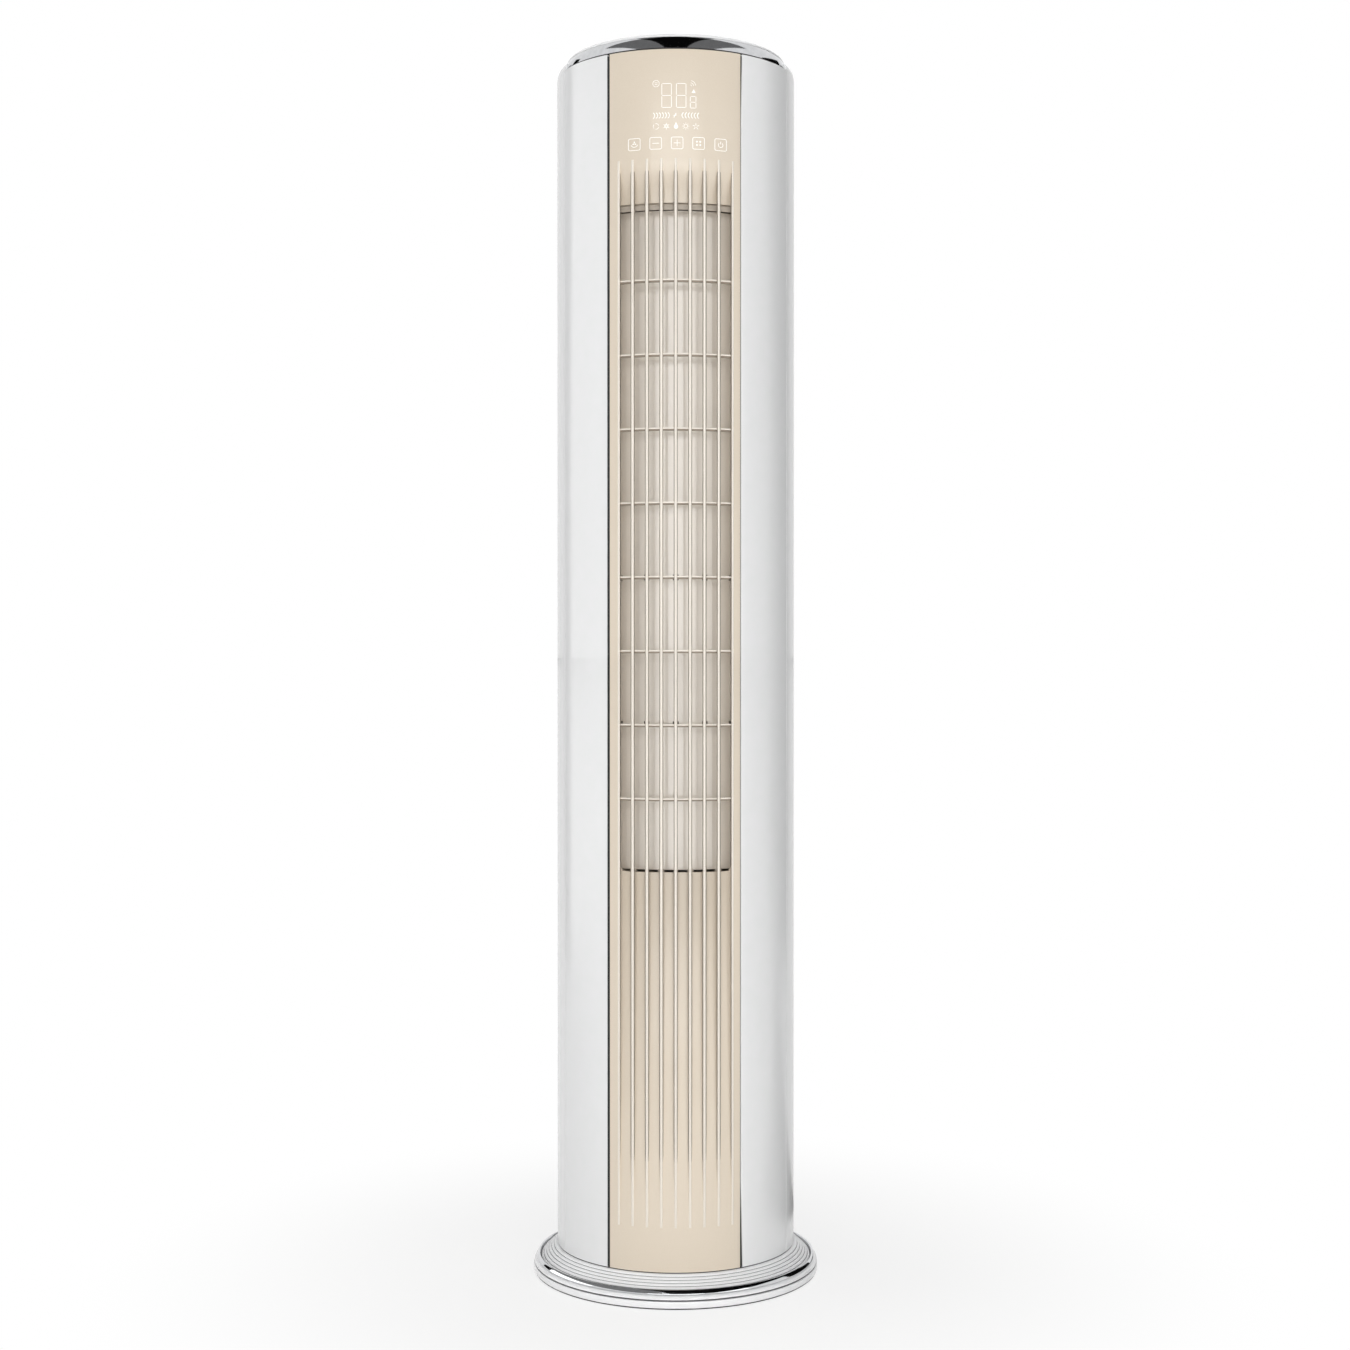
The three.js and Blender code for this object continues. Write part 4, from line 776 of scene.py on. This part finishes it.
def intakeCassette(name, low, high, look):
    radius = column["radius"] - 0.1
    low, high = low + look["inset"], high - look["inset"]
    start, end = 180 - look["half"], 180 + look["half"]
    borderTurn = math.degrees(look["border"] / radius)
    inLow, inHigh = low + look["border"], high - look["border"]
    middle, halfRail = (low + high) / 2, look["rail"] / 2
    frameSkin = columnSkin(name, start, end, [low, inLow, middle - halfRail, middle + halfRail,
                                              inHigh, high], radius)
    start, end = start + borderTurn, end - borderTurn
    pitch = (end - start) / look["bars"]
    halfBar = math.degrees(look["barWidth"] / 2 / radius)
    lines = [start, end]
    for count in range(1, look["bars"]):
        lines += [start + count * pitch - halfBar, start + count * pitch + halfBar]
    for turn in lines:
        seamCut(turn)

    def inSlot(p):
        along = turnOf(p) % 360 - start
        level = p.z / mm
        if not inLow < level < inHigh or abs(level - middle) < halfRail:
            return False
        if not 0 <= along <= end - start:
            return False
        near = along % pitch
        first, last = along < pitch, along > (look["bars"] - 1) * pitch
        return (near > halfBar or first) and (near < pitch - halfBar or last)

    pick(frameSkin, "FACE", inSlot)
    dropFaces()
    editOff()
    wall(frameSkin, look["depth"], look["edge"])
    slat = band("slat", start, end, inLow, inLow + look["slat"], radius - look["slatIn"],
                look["slatDepth"], 120)
    smooth(slat)
    slats = []
    for count in range(look["slats"]):
        twin = copyOf(slat, f"slat{count}")
        rise = (inHigh - inLow) * (count + 0.5) / look["slats"] - look["slat"] / 2
        twin.location = (0, 0, rise * mm)
        slats.append(twin)
    bpy.data.objects.remove(slat)
    whole = joinAll(name, [frameSkin, *slats])
    settle(whole)
    return whole


lowerCassette, upperCassette = [
    intakeCassette(name, low, high, cassetteSizes)
    for name, (low, high) in zip(("cassetteLower", "cassetteUpper"), rearSheet["intakes"])]
print("intake cassettes made")

# Service cover low on the left of the back, on two screws
serviceCover = {"turn": 215, "height": 190, "radius": 42, "gap": 0.3, "thickness": 2,
                "edge": 0.6, "screw": 37.5, "headRadius": 3.2, "headLength": 8.6, "proud": 0.6}


# The disc is cut in strips and each line of points is laid on the column's round.
def portCover(look):
    radius = column["radius"] + look["gap"] + look["thickness"]
    cover = begin("pipePortCover", bpy.ops.mesh.primitive_circle_add, vertices=72,
                  radius=look["radius"] * mm, fill_type="NGON",
                  location=(0, -radius * mm, look["height"] * mm), rotation=upright)
    editOn()
    stripWidth, lineWidth = 4.4, 0.7
    for step in range(-9, 10):
        cutPlane((step * stripWidth * mm, 0, 0), (1, 0, 0))
    for step in range(-60, 61):
        across = step * lineWidth
        pick(cover, "VERT",
             lambda p: across - lineWidth / 2 <= p.x / mm < across + lineWidth / 2)
        shift(y=faceY(radius, across) + radius)
    editOff()
    cover.rotation_euler = (0, 0, math.radians(look["turn"]))
    settle(cover)
    wall(cover, look["thickness"], look["edge"])
    return cover


# A flat head with a recess that narrows to its floor.
def screwHead(name, sign, look):
    radius = column["radius"] + look["thickness"] + look["proud"]
    height = (look["height"] + sign * look["screw"]) * mm
    screw = begin(name, bpy.ops.mesh.primitive_cylinder_add, vertices=40,
                  radius=look["headRadius"] * mm, depth=look["headLength"] * mm,
                  location=(0, -(radius - 2.7) * mm, height), rotation=upright)
    editOn("FACE")
    face = (0, -radius * mm, height)
    pick(screw, "FACE", lambda p: p.y < -(radius + 1.5) * mm)
    bpy.ops.mesh.inset(thickness=1 * mm)
    bpy.ops.mesh.extrude_region_move(TRANSFORM_OT_translate={"value": (0, 0.7 * mm, 0)})
    shrink(0.8, 1, 0.8, face)
    cutPlane((0, -radius * mm, 0), (0, 1, 0))
    pick(screw, "VERT", lambda p: p.y > -(radius - 0.1) * mm)
    shrink(0.45, 1, 0.45, face)
    editOff()
    roundEdges(screw, 0.3)
    screw.rotation_euler = (0, 0, math.radians(look["turn"]))
    settle(screw)
    outward(screw)
    smooth(screw)
    return screw


cover = portCover(serviceCover)
screws = [screwHead(name, sign, serviceCover)
          for name, sign in (("portScrewUpper", 1), ("portScrewLower", -1))]
print("service cover made")

# Marks that glow through the lacquer: digits, pictograms and touch keys. Places and sizes are
# millimetres across and up, drawn flat and then laid on the panel's round. A spark of the row
# of chevrons is a length, a turn and a width.
marks = {
    "line": 0.8, "fine": 0.6, "proud": 0.1, "thick": 0.12, "before": 250, "span": (-66, 73, 3),
    "digits": [{"x": -12.7, "z": 1689.1, "size": (14.2, 34)},
               {"x": 7.65, "z": 1689.1, "size": (14.2, 34)},
               {"x": 24.3, "z": 1680, "size": (8.8, 17)}],
    "round": {"x": -27.5, "z": 1706.0, "radius": 4.8},
    "signal": {"x": 20.2, "z": 1702.2, "radii": (2.2, 5.2, 8.2)},
    "warning": {"x": 25.0, "z": 1694.6, "size": 3.4},
    "chevrons": {"z": 1661.5, "radius": 5.0, "spread": 58, "count": 6, "stroke": 1.05,
                 "rows": [(-28.8, 4.1, 0), (8.2, 4.3, 180)],
                 "sparkX": -1.0, "sparks": [(7.2, 62, 1.1), (4.6, 8, 1.0)]},
    "modes": {"z": 1646.4, "places": (-27.5, -13.1, 0.4, 14.0, 28.2), "radius": 4.4},
    "keys": {"z": 1623, "places": (-58, -28, 2, 32, 63), "size": 17.2, "corner": 2.6, "sign": 8.6},
}
strokes = []


def stroke(primitive, **settings):
    piece = begin(f"stroke{len(strokes)}", primitive, **settings)
    strokes.append(piece)
    return piece


def bar(x, z, length, turn=0, width=None):
    width = width or marks["line"]
    piece = stroke(bpy.ops.mesh.primitive_plane_add, size=1)
    piece.scale = (length * mm, width * mm, 1)
    piece.rotation_euler = (math.pi / 2, -math.radians(turn), 0)
    piece.location = (x * mm, 0, z * mm)
    settle(piece)
    editOn()
    selectAll()
    bpy.ops.mesh.bevel(offset=width * 0.4 * mm, segments=2, affect="VERTICES")
    editOff()


def arc(x, z, radius, start=0, end=360, width=None):
    width = width or marks["line"]
    piece = stroke(bpy.ops.mesh.primitive_circle_add, vertices=48 if radius > 3 else 24,
                   radius=radius * mm, rotation=upright)
    editOn("EDGE")
    selectAll()
    bpy.ops.mesh.extrude_region_move()
    share = (radius - width) / radius
    shrink(share, 1, share)
    if end - start < 360:
        middle = math.radians((start + end) / 2)
        half = math.radians((end - start) / 2)
        pick(piece, "FACE", lambda p: abs((math.atan2(p.z, p.x) - middle + math.pi)
                                          % (2 * math.pi) - math.pi) > half)
        dropFaces()
    selectAll()
    shift(x, 0, z)
    editOff()


# A filled mark: a disc, a triangle with three corners, or a drop when its top is drawn up.
def blot(x, z, radius, corners=24, drawn=0):
    piece = stroke(bpy.ops.mesh.primitive_circle_add, vertices=corners, radius=radius * mm,
                   fill_type="TRIFAN", rotation=upright)
    editOn()
    if drawn:
        for level in (0.3, 0.6, 0.9):
            pick(piece, "VERT", lambda p: p.z > radius * level * mm)
            shrink(0.72, 1)
            shift(z=drawn / 3)
    selectAll()
    shift(x, 0, z)
    editOff()


# The eight of a display, of seven thin bars.
def digit(look):
    (width, height), x, z = look["size"], look["x"], look["z"]
    line = marks["line"]
    side, long = width / 2 - line / 2, height / 2 - line * 1.9
    for row in (-1, 0, 1):
        bar(x, z + row * (height / 2 - line / 2), width - line * 2.6)
    for across in (-side, side):
        for row in (-1, 1):
            bar(x + across, z + row * height / 4, long, 90)


def frameMark(x, z, size, corner):
    piece = stroke(bpy.ops.mesh.primitive_plane_add, size=size * mm,
                   location=(x * mm, 0, z * mm), rotation=upright)
    editOn()
    selectAll()
    bpy.ops.mesh.subdivide(number_cuts=1)
    half = size / 2 * mm - hair
    pick(piece, "VERT", lambda p: abs(p.x - x * mm) > half and abs(p.z - z * mm) > half)
    bpy.ops.mesh.bevel(offset=corner * mm, segments=5, affect="VERTICES")
    selectAll()
    bpy.ops.mesh.inset(thickness=marks["line"] * mm, depth=0)
    dropFaces()
    editOff()


def spokes(x, z, inner, outer, count, start=90, width=None):
    for step in range(count):
        turn = start + step * 360 / count
        reach = (inner + outer) / 2
        bar(x + reach * math.cos(math.radians(turn)), z + reach * math.sin(math.radians(turn)),
            outer - inner, turn, width)


def modePictograms(look):
    z, radius = look["z"], look["radius"]
    cycle, frost, drop, sun, fan = look["places"]
    fine = marks["fine"]
    for turn in (0, 120, 240):
        arc(cycle, z, radius * 0.95, turn + 12, turn + 104, fine)
    spokes(frost, z, 0.8, radius * 1.08, 6, width=fine)
    arc(frost, z, radius * 0.6, width=fine)
    blot(drop, z - 0.9, radius * 0.66, drawn=radius * 0.75)
    arc(sun, z, radius * 0.66, width=fine)
    spokes(sun, z, radius * 0.85, radius * 1.15, 8, width=fine)
    spokes(fan, z, 1.2, radius * 1.05, 5, width=0.8)


def touchKeys(look):
    z, sign = look["z"], look["sign"]
    breeze, less, more, mode, power = look["places"]
    for x in look["places"]:
        frameMark(x, z, look["size"], look["corner"])
    spokes(breeze, z + 1.4, 0.5, sign * 0.34, 3, width=1.6)
    arc(breeze, z + 1.2, sign * 0.62, 205, 335)
    bar(less, z, sign * 1.1)
    bar(more, z, sign * 1.1)
    bar(more, z, sign * 1.1, 90)
    for across in (-1, 1):
        for up in (-1, 1):
            blot(mode + across * sign * 0.27, z + up * sign * 0.27, sign * 0.15, 16)
    arc(power, z - 0.4, sign * 0.42, -235, 55)
    bar(power, z + sign * 0.3, sign * 0.44, 90)


def displayMarks(look):
    fine = look["fine"]
    for eight in look["digits"]:
        digit(eight)
    x, z, radius = look["round"].values()
    arc(x, z, radius, width=fine)
    arc(x, z + 0.6, radius / 2, 205, 335, fine)
    bar(x, z + 1.2, 4.2, width=fine)
    x, z, radii = look["signal"].values()
    for radius in radii:
        arc(x, z, radius, 5, 85, fine)
    x, z, size = look["warning"].values()
    blot(x, z, size, 3)
    row = look["chevrons"]
    for first, pitch, turn in row["rows"]:
        for step in range(row["count"]):
            middle = first + step * pitch - row["radius"] * math.cos(math.radians(turn))
            arc(middle, row["z"], row["radius"], turn - row["spread"], turn + row["spread"],
                row["stroke"])
    for length, turn, width in row["sparks"]:
        bar(row["sparkX"], row["z"], length, turn, width)


# Lays the flat strokes on the panel, as one piece of little thickness.
def layOnPanel(name):
    piece = joinAll(name, list(strokes))
    strokes.clear()
    editOn()
    for across in range(*marks["span"]):
        cutPlane((across * mm, 0, 0), (1, 0, 0))
    editOff()
    piece.location = (0, -marks["before"] * mm, 0)
    settle(piece)
    modify(piece, "SHRINKWRAP", target=frontPanel, wrap_method="PROJECT", use_project_y=True,
           use_positive_direction=True, use_negative_direction=False, offset=0)
    editOn()
    selectAll()
    shift(y=-marks["proud"])
    editOff()
    modify(piece, "SOLIDIFY", thickness=marks["thick"] * mm, offset=0)
    outward(piece)
    smooth(piece, 50)
    return piece


displayMarks(marks)
digits = layOnPanel("displayDigits")
modePictograms(marks["modes"])
pictograms = layOnPanel("modePictograms")
touchKeys(marks["keys"])
keyMarks = layOnPanel("touchKeyMarks")
print("display marks made")


def dress(piece, material, slot, *stands, body="column"):
    piece.data.materials.clear()
    piece.data.materials.append(material)
    for face in piece.data.polygons:
        face.material_index = 0
    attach(piece, body)
    if stands:
        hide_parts(*stands)


# ABS moulded in a polished tool: smooth and glossy, with the faintest waver in its shine.
glossAbs = finish("glossWhiteAbs", "#edeeee", "#efeff0", 20, (0.2, 0.25), (0.02, 0.02))
# The same ABS from a sand blasted tool: duller. Its grain is 0.3 mm, drawn at 0.6 mm to show.
mattAbs = finish("mattWhiteAbs", "#f1f1f2", "#f6f6f7", 0.6, (0.34, 0.44), (0.12, 0.02))
# Champagne lacquer on ABS: fine pearl flakes under a clear coat that keeps a soft shine.
champagneLacquer = finish("champagneLacquer", "#dcceba", "#e5d9c8", 0.5, (0.34, 0.42),
                          (0.04, 0.01), coat=(0.25, 0.12))
# The same lacquer, paler and glossier, on the outlet's bars; the paler tone is a painted highlight.
highlightBarLacquer = finish("paintedHighlightBarLacquer", "#eae1d4", "#f3ebe0", 0.5, (0.24, 0.32), (0.04, 0.01),
                    coat=(0.5, 0.1))
# Dark, dull ABS of the webs behind the bars: painted shade, the thin shadow lines beside the bars.
webShadeAbs = finish("paintedShadeWebAbs", "#8f8475", "#9a8f81", 0.6, (0.5, 0.62), (0.08, 0.01))
# White ABS buffed after moulding, on the base's rim: almost a mirror.
buffedAbs = finish("buffedWhiteAbs", "#f4f4f5", "#f8f8f9", 15, (0.1, 0.14), (0.02, 0.02))
# The duct's ABS under the outlet's upper edge, greyer and dull; the greyer tone is painted shade.
shadedAbs = finish("shadedDuctAbs", "#b4a99b", "#bdb3a6", 0.6, (0.5, 0.6), (0.1, 0.02))
# Grey satin ABS, evenly moulded, of the thin lines in the collar and rim: painted shade in grooves.
greyShadeInlay = finish("greyShadeInlayAbs", "#4c4c4e", "#575759", 0.5, (0.4, 0.5), (0.08, 0.01))
# Chrome plate on ABS: a mirror with a trace of orange peel.
chromePlate = finish("chromePlate", "#c9cacc", "#d2d3d5", 9, (0.05, 0.09), (0.03, 0.02),
                     metallic=1.0)
# White light of small diodes, spread by the lacquer that covers them.
diodeLight = finish("diodeLightUnderLacquer", "#f6f3ee", "#fffdfa", 1.5, (0.4, 0.5), glow=0.2)
# The duct's ABS, polished, for the vanes behind the outlet; its lighter tone is painted light.
lightenedVaneAbs = finish("paintedLightVaneAbs", "#f0e7da", "#f7efe4", 0.6, (0.22, 0.3), (0.06, 0.01),
                 coat=(0.8, 0.2))
# Moulded rubber: near black, dull and slightly pitted.
footRubber = finish("mouldedRubber", "#1d1d1d", "#2c2c2c", 0.8, (0.7, 0.9), (0.3, 0.05))
# Galvanised sheet steel: grey zinc with crystals some 8 mm across.
zincSheet = finish("galvanisedSheetSteel", "#8f9396", "#b9bdc0", 8, (0.35, 0.55), metallic=1.0,
                   pattern="cells")
# Aluminium fins stacked on their tubes. They stand 1.6 mm apart, drawn at 2.4 mm to show.
# The dark bands between the fins are painted shade of the gaps.
finStack = finish("aluminiumFins", "#5d6163", "#c5c9cb", 2.4, (0.3, 0.5), (0.6, 0.8),
                  metallic=0.9, pattern="lines")
# Drawn copper tube: warm and smooth, darkened in patches by handling.
copperTube = finish("drawnCopper", "#9a5c38", "#c98a5e", 18, (0.2, 0.4), metallic=1.0)
# Pressed aluminium can, drawn upright, with fine lines along the draw.
aluminiumCan = finish("drawnAluminium", "#a9acae", "#c3c6c8", 1.2, (0.25, 0.4), metallic=1.0,
                      stretch=(1, 1, 0.05))
# Champagne coloured ABS, moulded through and left satin, for the duct behind the outlet.
ductAbs = finish("satinDuctAbs", "#d6ccbe", "#dfd6c9", 0.8, (0.42, 0.55), (0.1, 0.02))
# Glass filled polyamide of the fan: dark grey with pale fibres in the flow of the mould.
fanPolyamide = finish("glassFilledPolyamide", "#2b2d30", "#43474a", 0.7, (0.45, 0.65),
                      (0.15, 0.02), stretch=(1, 1, 0.15))
# Black ABS from a sparked tool: even, dull and finely pitted.
blackAbs = finish("sparkedBlackAbs", "#17181a", "#26282a", 0.5, (0.45, 0.6), (0.2, 0.02))
# Woven polypropylene net on the filter: threads 1.2 mm apart.
filterNet = finish("wovenFilterNet", "#3e4347", "#8b9297", 1.2, (0.6, 0.8), (0.5, 0.2),
                   pattern="cells")
# Glass epoxy board under green solder mask, with copper runs 2.5 mm apart faintly raised.
circuitBoard = finish("solderMaskBoard", "#1f4a33", "#3b7454", 2.5, (0.3, 0.5), (0.2, 0.05),
                      pattern="lines", across="X", waver=3.0)
# Cream phenolic terminal block: hard, slightly mottled.
terminalPhenolic = finish("creamPhenolic", "#cfc8b2", "#ddd8c6", 2, (0.4, 0.55), (0.1, 0.02))

dress(leftPanel, glossAbs, "white_shell", "side_panel_left")
dress(rightPanel, glossAbs, "white_shell", "side_panel_right")
dress(frontPanel, champagneLacquer, "champagne_panel", "front_panel")
dress(grilleNoses, highlightBarLacquer, "champagne_panel", "front_panel")
dress(grilleShadeWebs, webShadeAbs, "champagne_panel", "front_panel")
dress(baffle, shadedAbs, "champagne_panel", "front_panel")
for seal in (topSeal, footSealAndShade, *seals):
    dress(seal, footRubber, "black_plastic")
dress(grooveShadeLines, greyShadeInlay, "black_plastic")
for mark in (digits, pictograms, keyMarks):
    dress(mark, diodeLight, "white_shell")
dress(rim, buffedAbs, "white_shell", "base_rim")
dress(baseTrim, chromePlate, "chrome_trim", "base_trim_ring")
dress(collar, mattAbs, "white_matt", "base_collar")
dress(topTrim, chromePlate, "chrome_trim", "top_trim_ring")
dress(cap, glossAbs, "white_shell", "top_cap")
for count, pad in enumerate(pads):
    dress(pad, footRubber, "foot_rubber", f"foot_pad_{count + 1}")
dress(casing, glossAbs, "white_shell", "rear_casing")
dress(lowerCassette, glossAbs, "white_shell", "filter_cassette_lower", body="filter_lower")
dress(upperCassette, glossAbs, "white_shell", "filter_cassette_upper", body="filter_upper")
dress(cover, mattAbs, "white_matt", "pipe_port_cover")
for screw, node in zip(screws, ("port_screw_upper", "port_screw_lower")):
    dress(screw, chromePlate, "screw_steel", node)

nodeFinishes = {
    zincSheet: ["base_plate", "frame_post_left", "frame_post_right", "motor_plate",
                "coil_plate_left", "coil_plate_right", "control_shelf", "control_box",
                "control_box_cover", "fan_motor"],
    finStack: ["coil"],
    copperTube: ["gas_pipe", "liquid_pipe"],
    aluminiumCan: ["capacitor"],
    ductAbs: ["duct_floor_plate", "duct_top_plate", "duct_wall_left", "duct_wall_right"],
    lightenedVaneAbs: ["vane_1", "vane_2", "vane_3", "vane_4"],
    mattAbs: ["drain_pan"],
    fanPolyamide: ["fan"],
    blackAbs: ["vane_link", "swing_motor", "fan_bearing", "cable_gland"],
    filterNet: ["filter_mesh_lower", "filter_mesh_upper"],
    circuitBoard: ["display_board", "touch_key_board", "main_board"],
    terminalPhenolic: ["terminal_block"],
}
for material, nodes in nodeFinishes.items():
    for node in nodes:
        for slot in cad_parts[node].material_slots:
            slot.material = material
print("inner parts dressed")


# Soft studio: a white room to the eye, with large lamps that leave the right side darker.
studio = {
    "floor": {"tone": "#f2f2f1", "size": 40, "fadeFrom": 0.2, "fadeTo": 0.9, "least": 0.74},
    "world": 0.07,
    "lampAim": 0.95,
    "lamps": {
        "left": {"turn": -100, "far": 3.6, "height": 0.9, "size": (4.2, 5.0), "power": 80},
        "front": {"turn": 0, "far": 4.4, "height": 0.9, "size": (3.6, 4.0), "power": 150},
        "right": {"turn": 45, "far": 3.6, "height": 1.0, "size": (1.8, 3.2), "power": 20},
        "top": {"turn": 0, "far": 0.4, "height": 4.4, "size": (2.4, 2.4), "power": 62},
        "low": {"turn": -8, "far": 1.6, "height": 0.12, "size": (2.6, 0.2), "power": 2.4},
        "back": {"turn": 150, "far": 3.8, "height": 1.3, "size": (3.0, 3.0), "power": 55},
    },
    "withoutGloss": ("top", "low", "back"),
    # Cards that only the gloss sees. The ones with a turn lie flat; the others face the column.
    # A card with an underside is only there for what looks up at it.
    "flags": {
        "overheadBack": {"place": (0, 1.2, 4.6), "size": (0.74, 2.4), "turn": 0},
        "overheadFront": {"place": (0, -2.6, 4.6), "size": (1.9, 5.2), "turn": 0},
        "greyBack": {"place": (0, 1.6, 4.64), "size": (1.9, 3.2), "turn": 0, "tone": "#787878"},
        "greyFront": {"place": (0, -2.6, 4.64), "size": (6.4, 5.2), "turn": 0,
                      "tone": "#787878"},
        "foot": {"place": (0.85, -2.1, 0.904), "size": (2.25, 6.6), "turn": 0,
                 "underside": True},
        "footLeft": {"place": (-1.35, -2.1, 0.904), "size": (2.1, 6.6), "turn": 0,
                     "tone": "#8a8a8a", "underside": True},
        "footRight": {"place": (1.50, 0.62, 0.004), "size": (2.6, 0.5), "turn": 24},
        "behindRight": {"place": (2.8, 1.55, 1.0), "size": (2.1, 5.0)},
        "behindLeft": {"place": (-2.6, 1.89, 1.0), "size": (0.7, 5.0)},
    },
}


# One for the rays that meet the set from the camera, through clear plastic or off a gloss.
def seenDirectly(tree):
    path = addNode(tree, "ShaderNodeLightPath")
    direct = addNode(tree, "ShaderNodeMath", {"operation": "MAXIMUM"},
                     {0: path.outputs["Is Camera Ray"], 1: path.outputs["Is Transmission Ray"]})
    return addNode(tree, "ShaderNodeMath", {"operation": "MAXIMUM"},
                   {0: direct.outputs["Value"], 1: path.outputs["Is Glossy Ray"]}).outputs["Value"]


# A card of its own tone that only the gloss sees, as the flags beside a bright set.
def addFlag(name, look):
    flag = begin(name, bpy.ops.mesh.primitive_plane_add, size=1)
    flag.location = look["place"]
    if "turn" in look:
        flag.rotation_euler.z = math.radians(look["turn"])
    else:
        aim = Vector((0, 0, 1.0)) - flag.location
        flag.rotation_euler = aim.to_track_quat("Z", "Y").to_euler()
    flag.scale = (*look["size"], 1)
    settle(flag)
    material, tree = emptyTree(bpy.data.materials.new(name + "Card"))
    card = addNode(tree, "ShaderNodeEmission", {"Color": colour(look.get("tone", "#0a0a0a"))})
    if look.get("underside"):
        side = addNode(tree, "ShaderNodeNewGeometry")
        clear = addNode(tree, "ShaderNodeBsdfTransparent")
        card = addNode(tree, "ShaderNodeMixShader", links={
            "Fac": side.outputs["Backfacing"], 1: clear.outputs["BSDF"],
            2: card.outputs["Emission"]})
    addNode(tree, "ShaderNodeOutputMaterial", links={"Surface": card.outputs[0]})
    flag.data.materials.append(material)
    flag.visible_camera = False
    flag.visible_diffuse = False
    flag.visible_shadow = False


# The floor takes the shadow near the object and turns to plain white further out.
def addFloor(look):
    floor = begin("floor", bpy.ops.mesh.primitive_plane_add, size=look["size"])
    material, tree = emptyTree(bpy.data.materials.new("palePaper"))
    paper = addNode(tree, "ShaderNodeBsdfDiffuse", {"Color": colour(look["tone"])})
    white = addNode(tree, "ShaderNodeEmission", {"Strength": 1.0})
    place = addNode(tree, "ShaderNodeTexCoord")
    near = addNode(tree, "ShaderNodeVectorMath", {"operation": "LENGTH"},
                   {0: place.outputs["Object"]})
    fade = addNode(tree, "ShaderNodeMapRange", {
        "interpolation_type": "SMOOTHSTEP", "From Min": look["fadeFrom"],
        "From Max": look["fadeTo"], "To Min": look["least"], "To Max": 1.0,
    }, {"Value": near.outputs["Value"]})
    whiten = addNode(tree, "ShaderNodeMath", {"operation": "MULTIPLY"},
                     {0: fade.outputs["Result"], 1: seenDirectly(tree)})
    blend = addNode(tree, "ShaderNodeMixShader", links={
        "Fac": whiten.outputs["Value"], 1: paper.outputs["BSDF"], 2: white.outputs["Emission"]})
    addNode(tree, "ShaderNodeOutputMaterial", links={"Surface": blend.outputs["Shader"]})
    floor.data.materials.append(material)


# White to the camera and to the gloss, and a faint fill for everything else.
def addSky(strength):
    bpy.context.scene.world, tree = emptyTree(bpy.data.worlds.new("studio"))
    level = addNode(tree, "ShaderNodeMapRange", {"To Min": strength, "To Max": 1.0},
                    {"Value": seenDirectly(tree)})
    sky = addNode(tree, "ShaderNodeBackground", {"Color": (1, 1, 1, 1)},
                  {"Strength": level.outputs["Result"]})
    addNode(tree, "ShaderNodeOutputWorld", links={"Surface": sky.outputs["Background"]})


def addLamp(name, look, aimHeight, gloss):
    data = bpy.data.lights.new(name, "AREA")
    data.shape = "RECTANGLE"
    data.size, data.size_y = look["size"]
    data.energy = look["power"]
    light = bpy.data.objects.new(name, data)
    light.location = around(look["turn"], look["far"], look["height"])
    aim = Vector((0, 0, min(look["height"], aimHeight))) - light.location
    light.rotation_euler = aim.to_track_quat("-Z", "Y").to_euler()
    bpy.context.scene.collection.objects.link(light)
    light.visible_glossy = gloss
    light.visible_camera = False


addFloor(studio["floor"])
addSky(studio["world"])
for name, look in studio["lamps"].items():
    addLamp(name, look, studio["lampAim"], name not in studio["withoutGloss"])
for name, look in studio["flags"].items():
    addFlag(name, look)
bpy.context.scene.view_settings.view_transform = "Standard"
print("studio set")
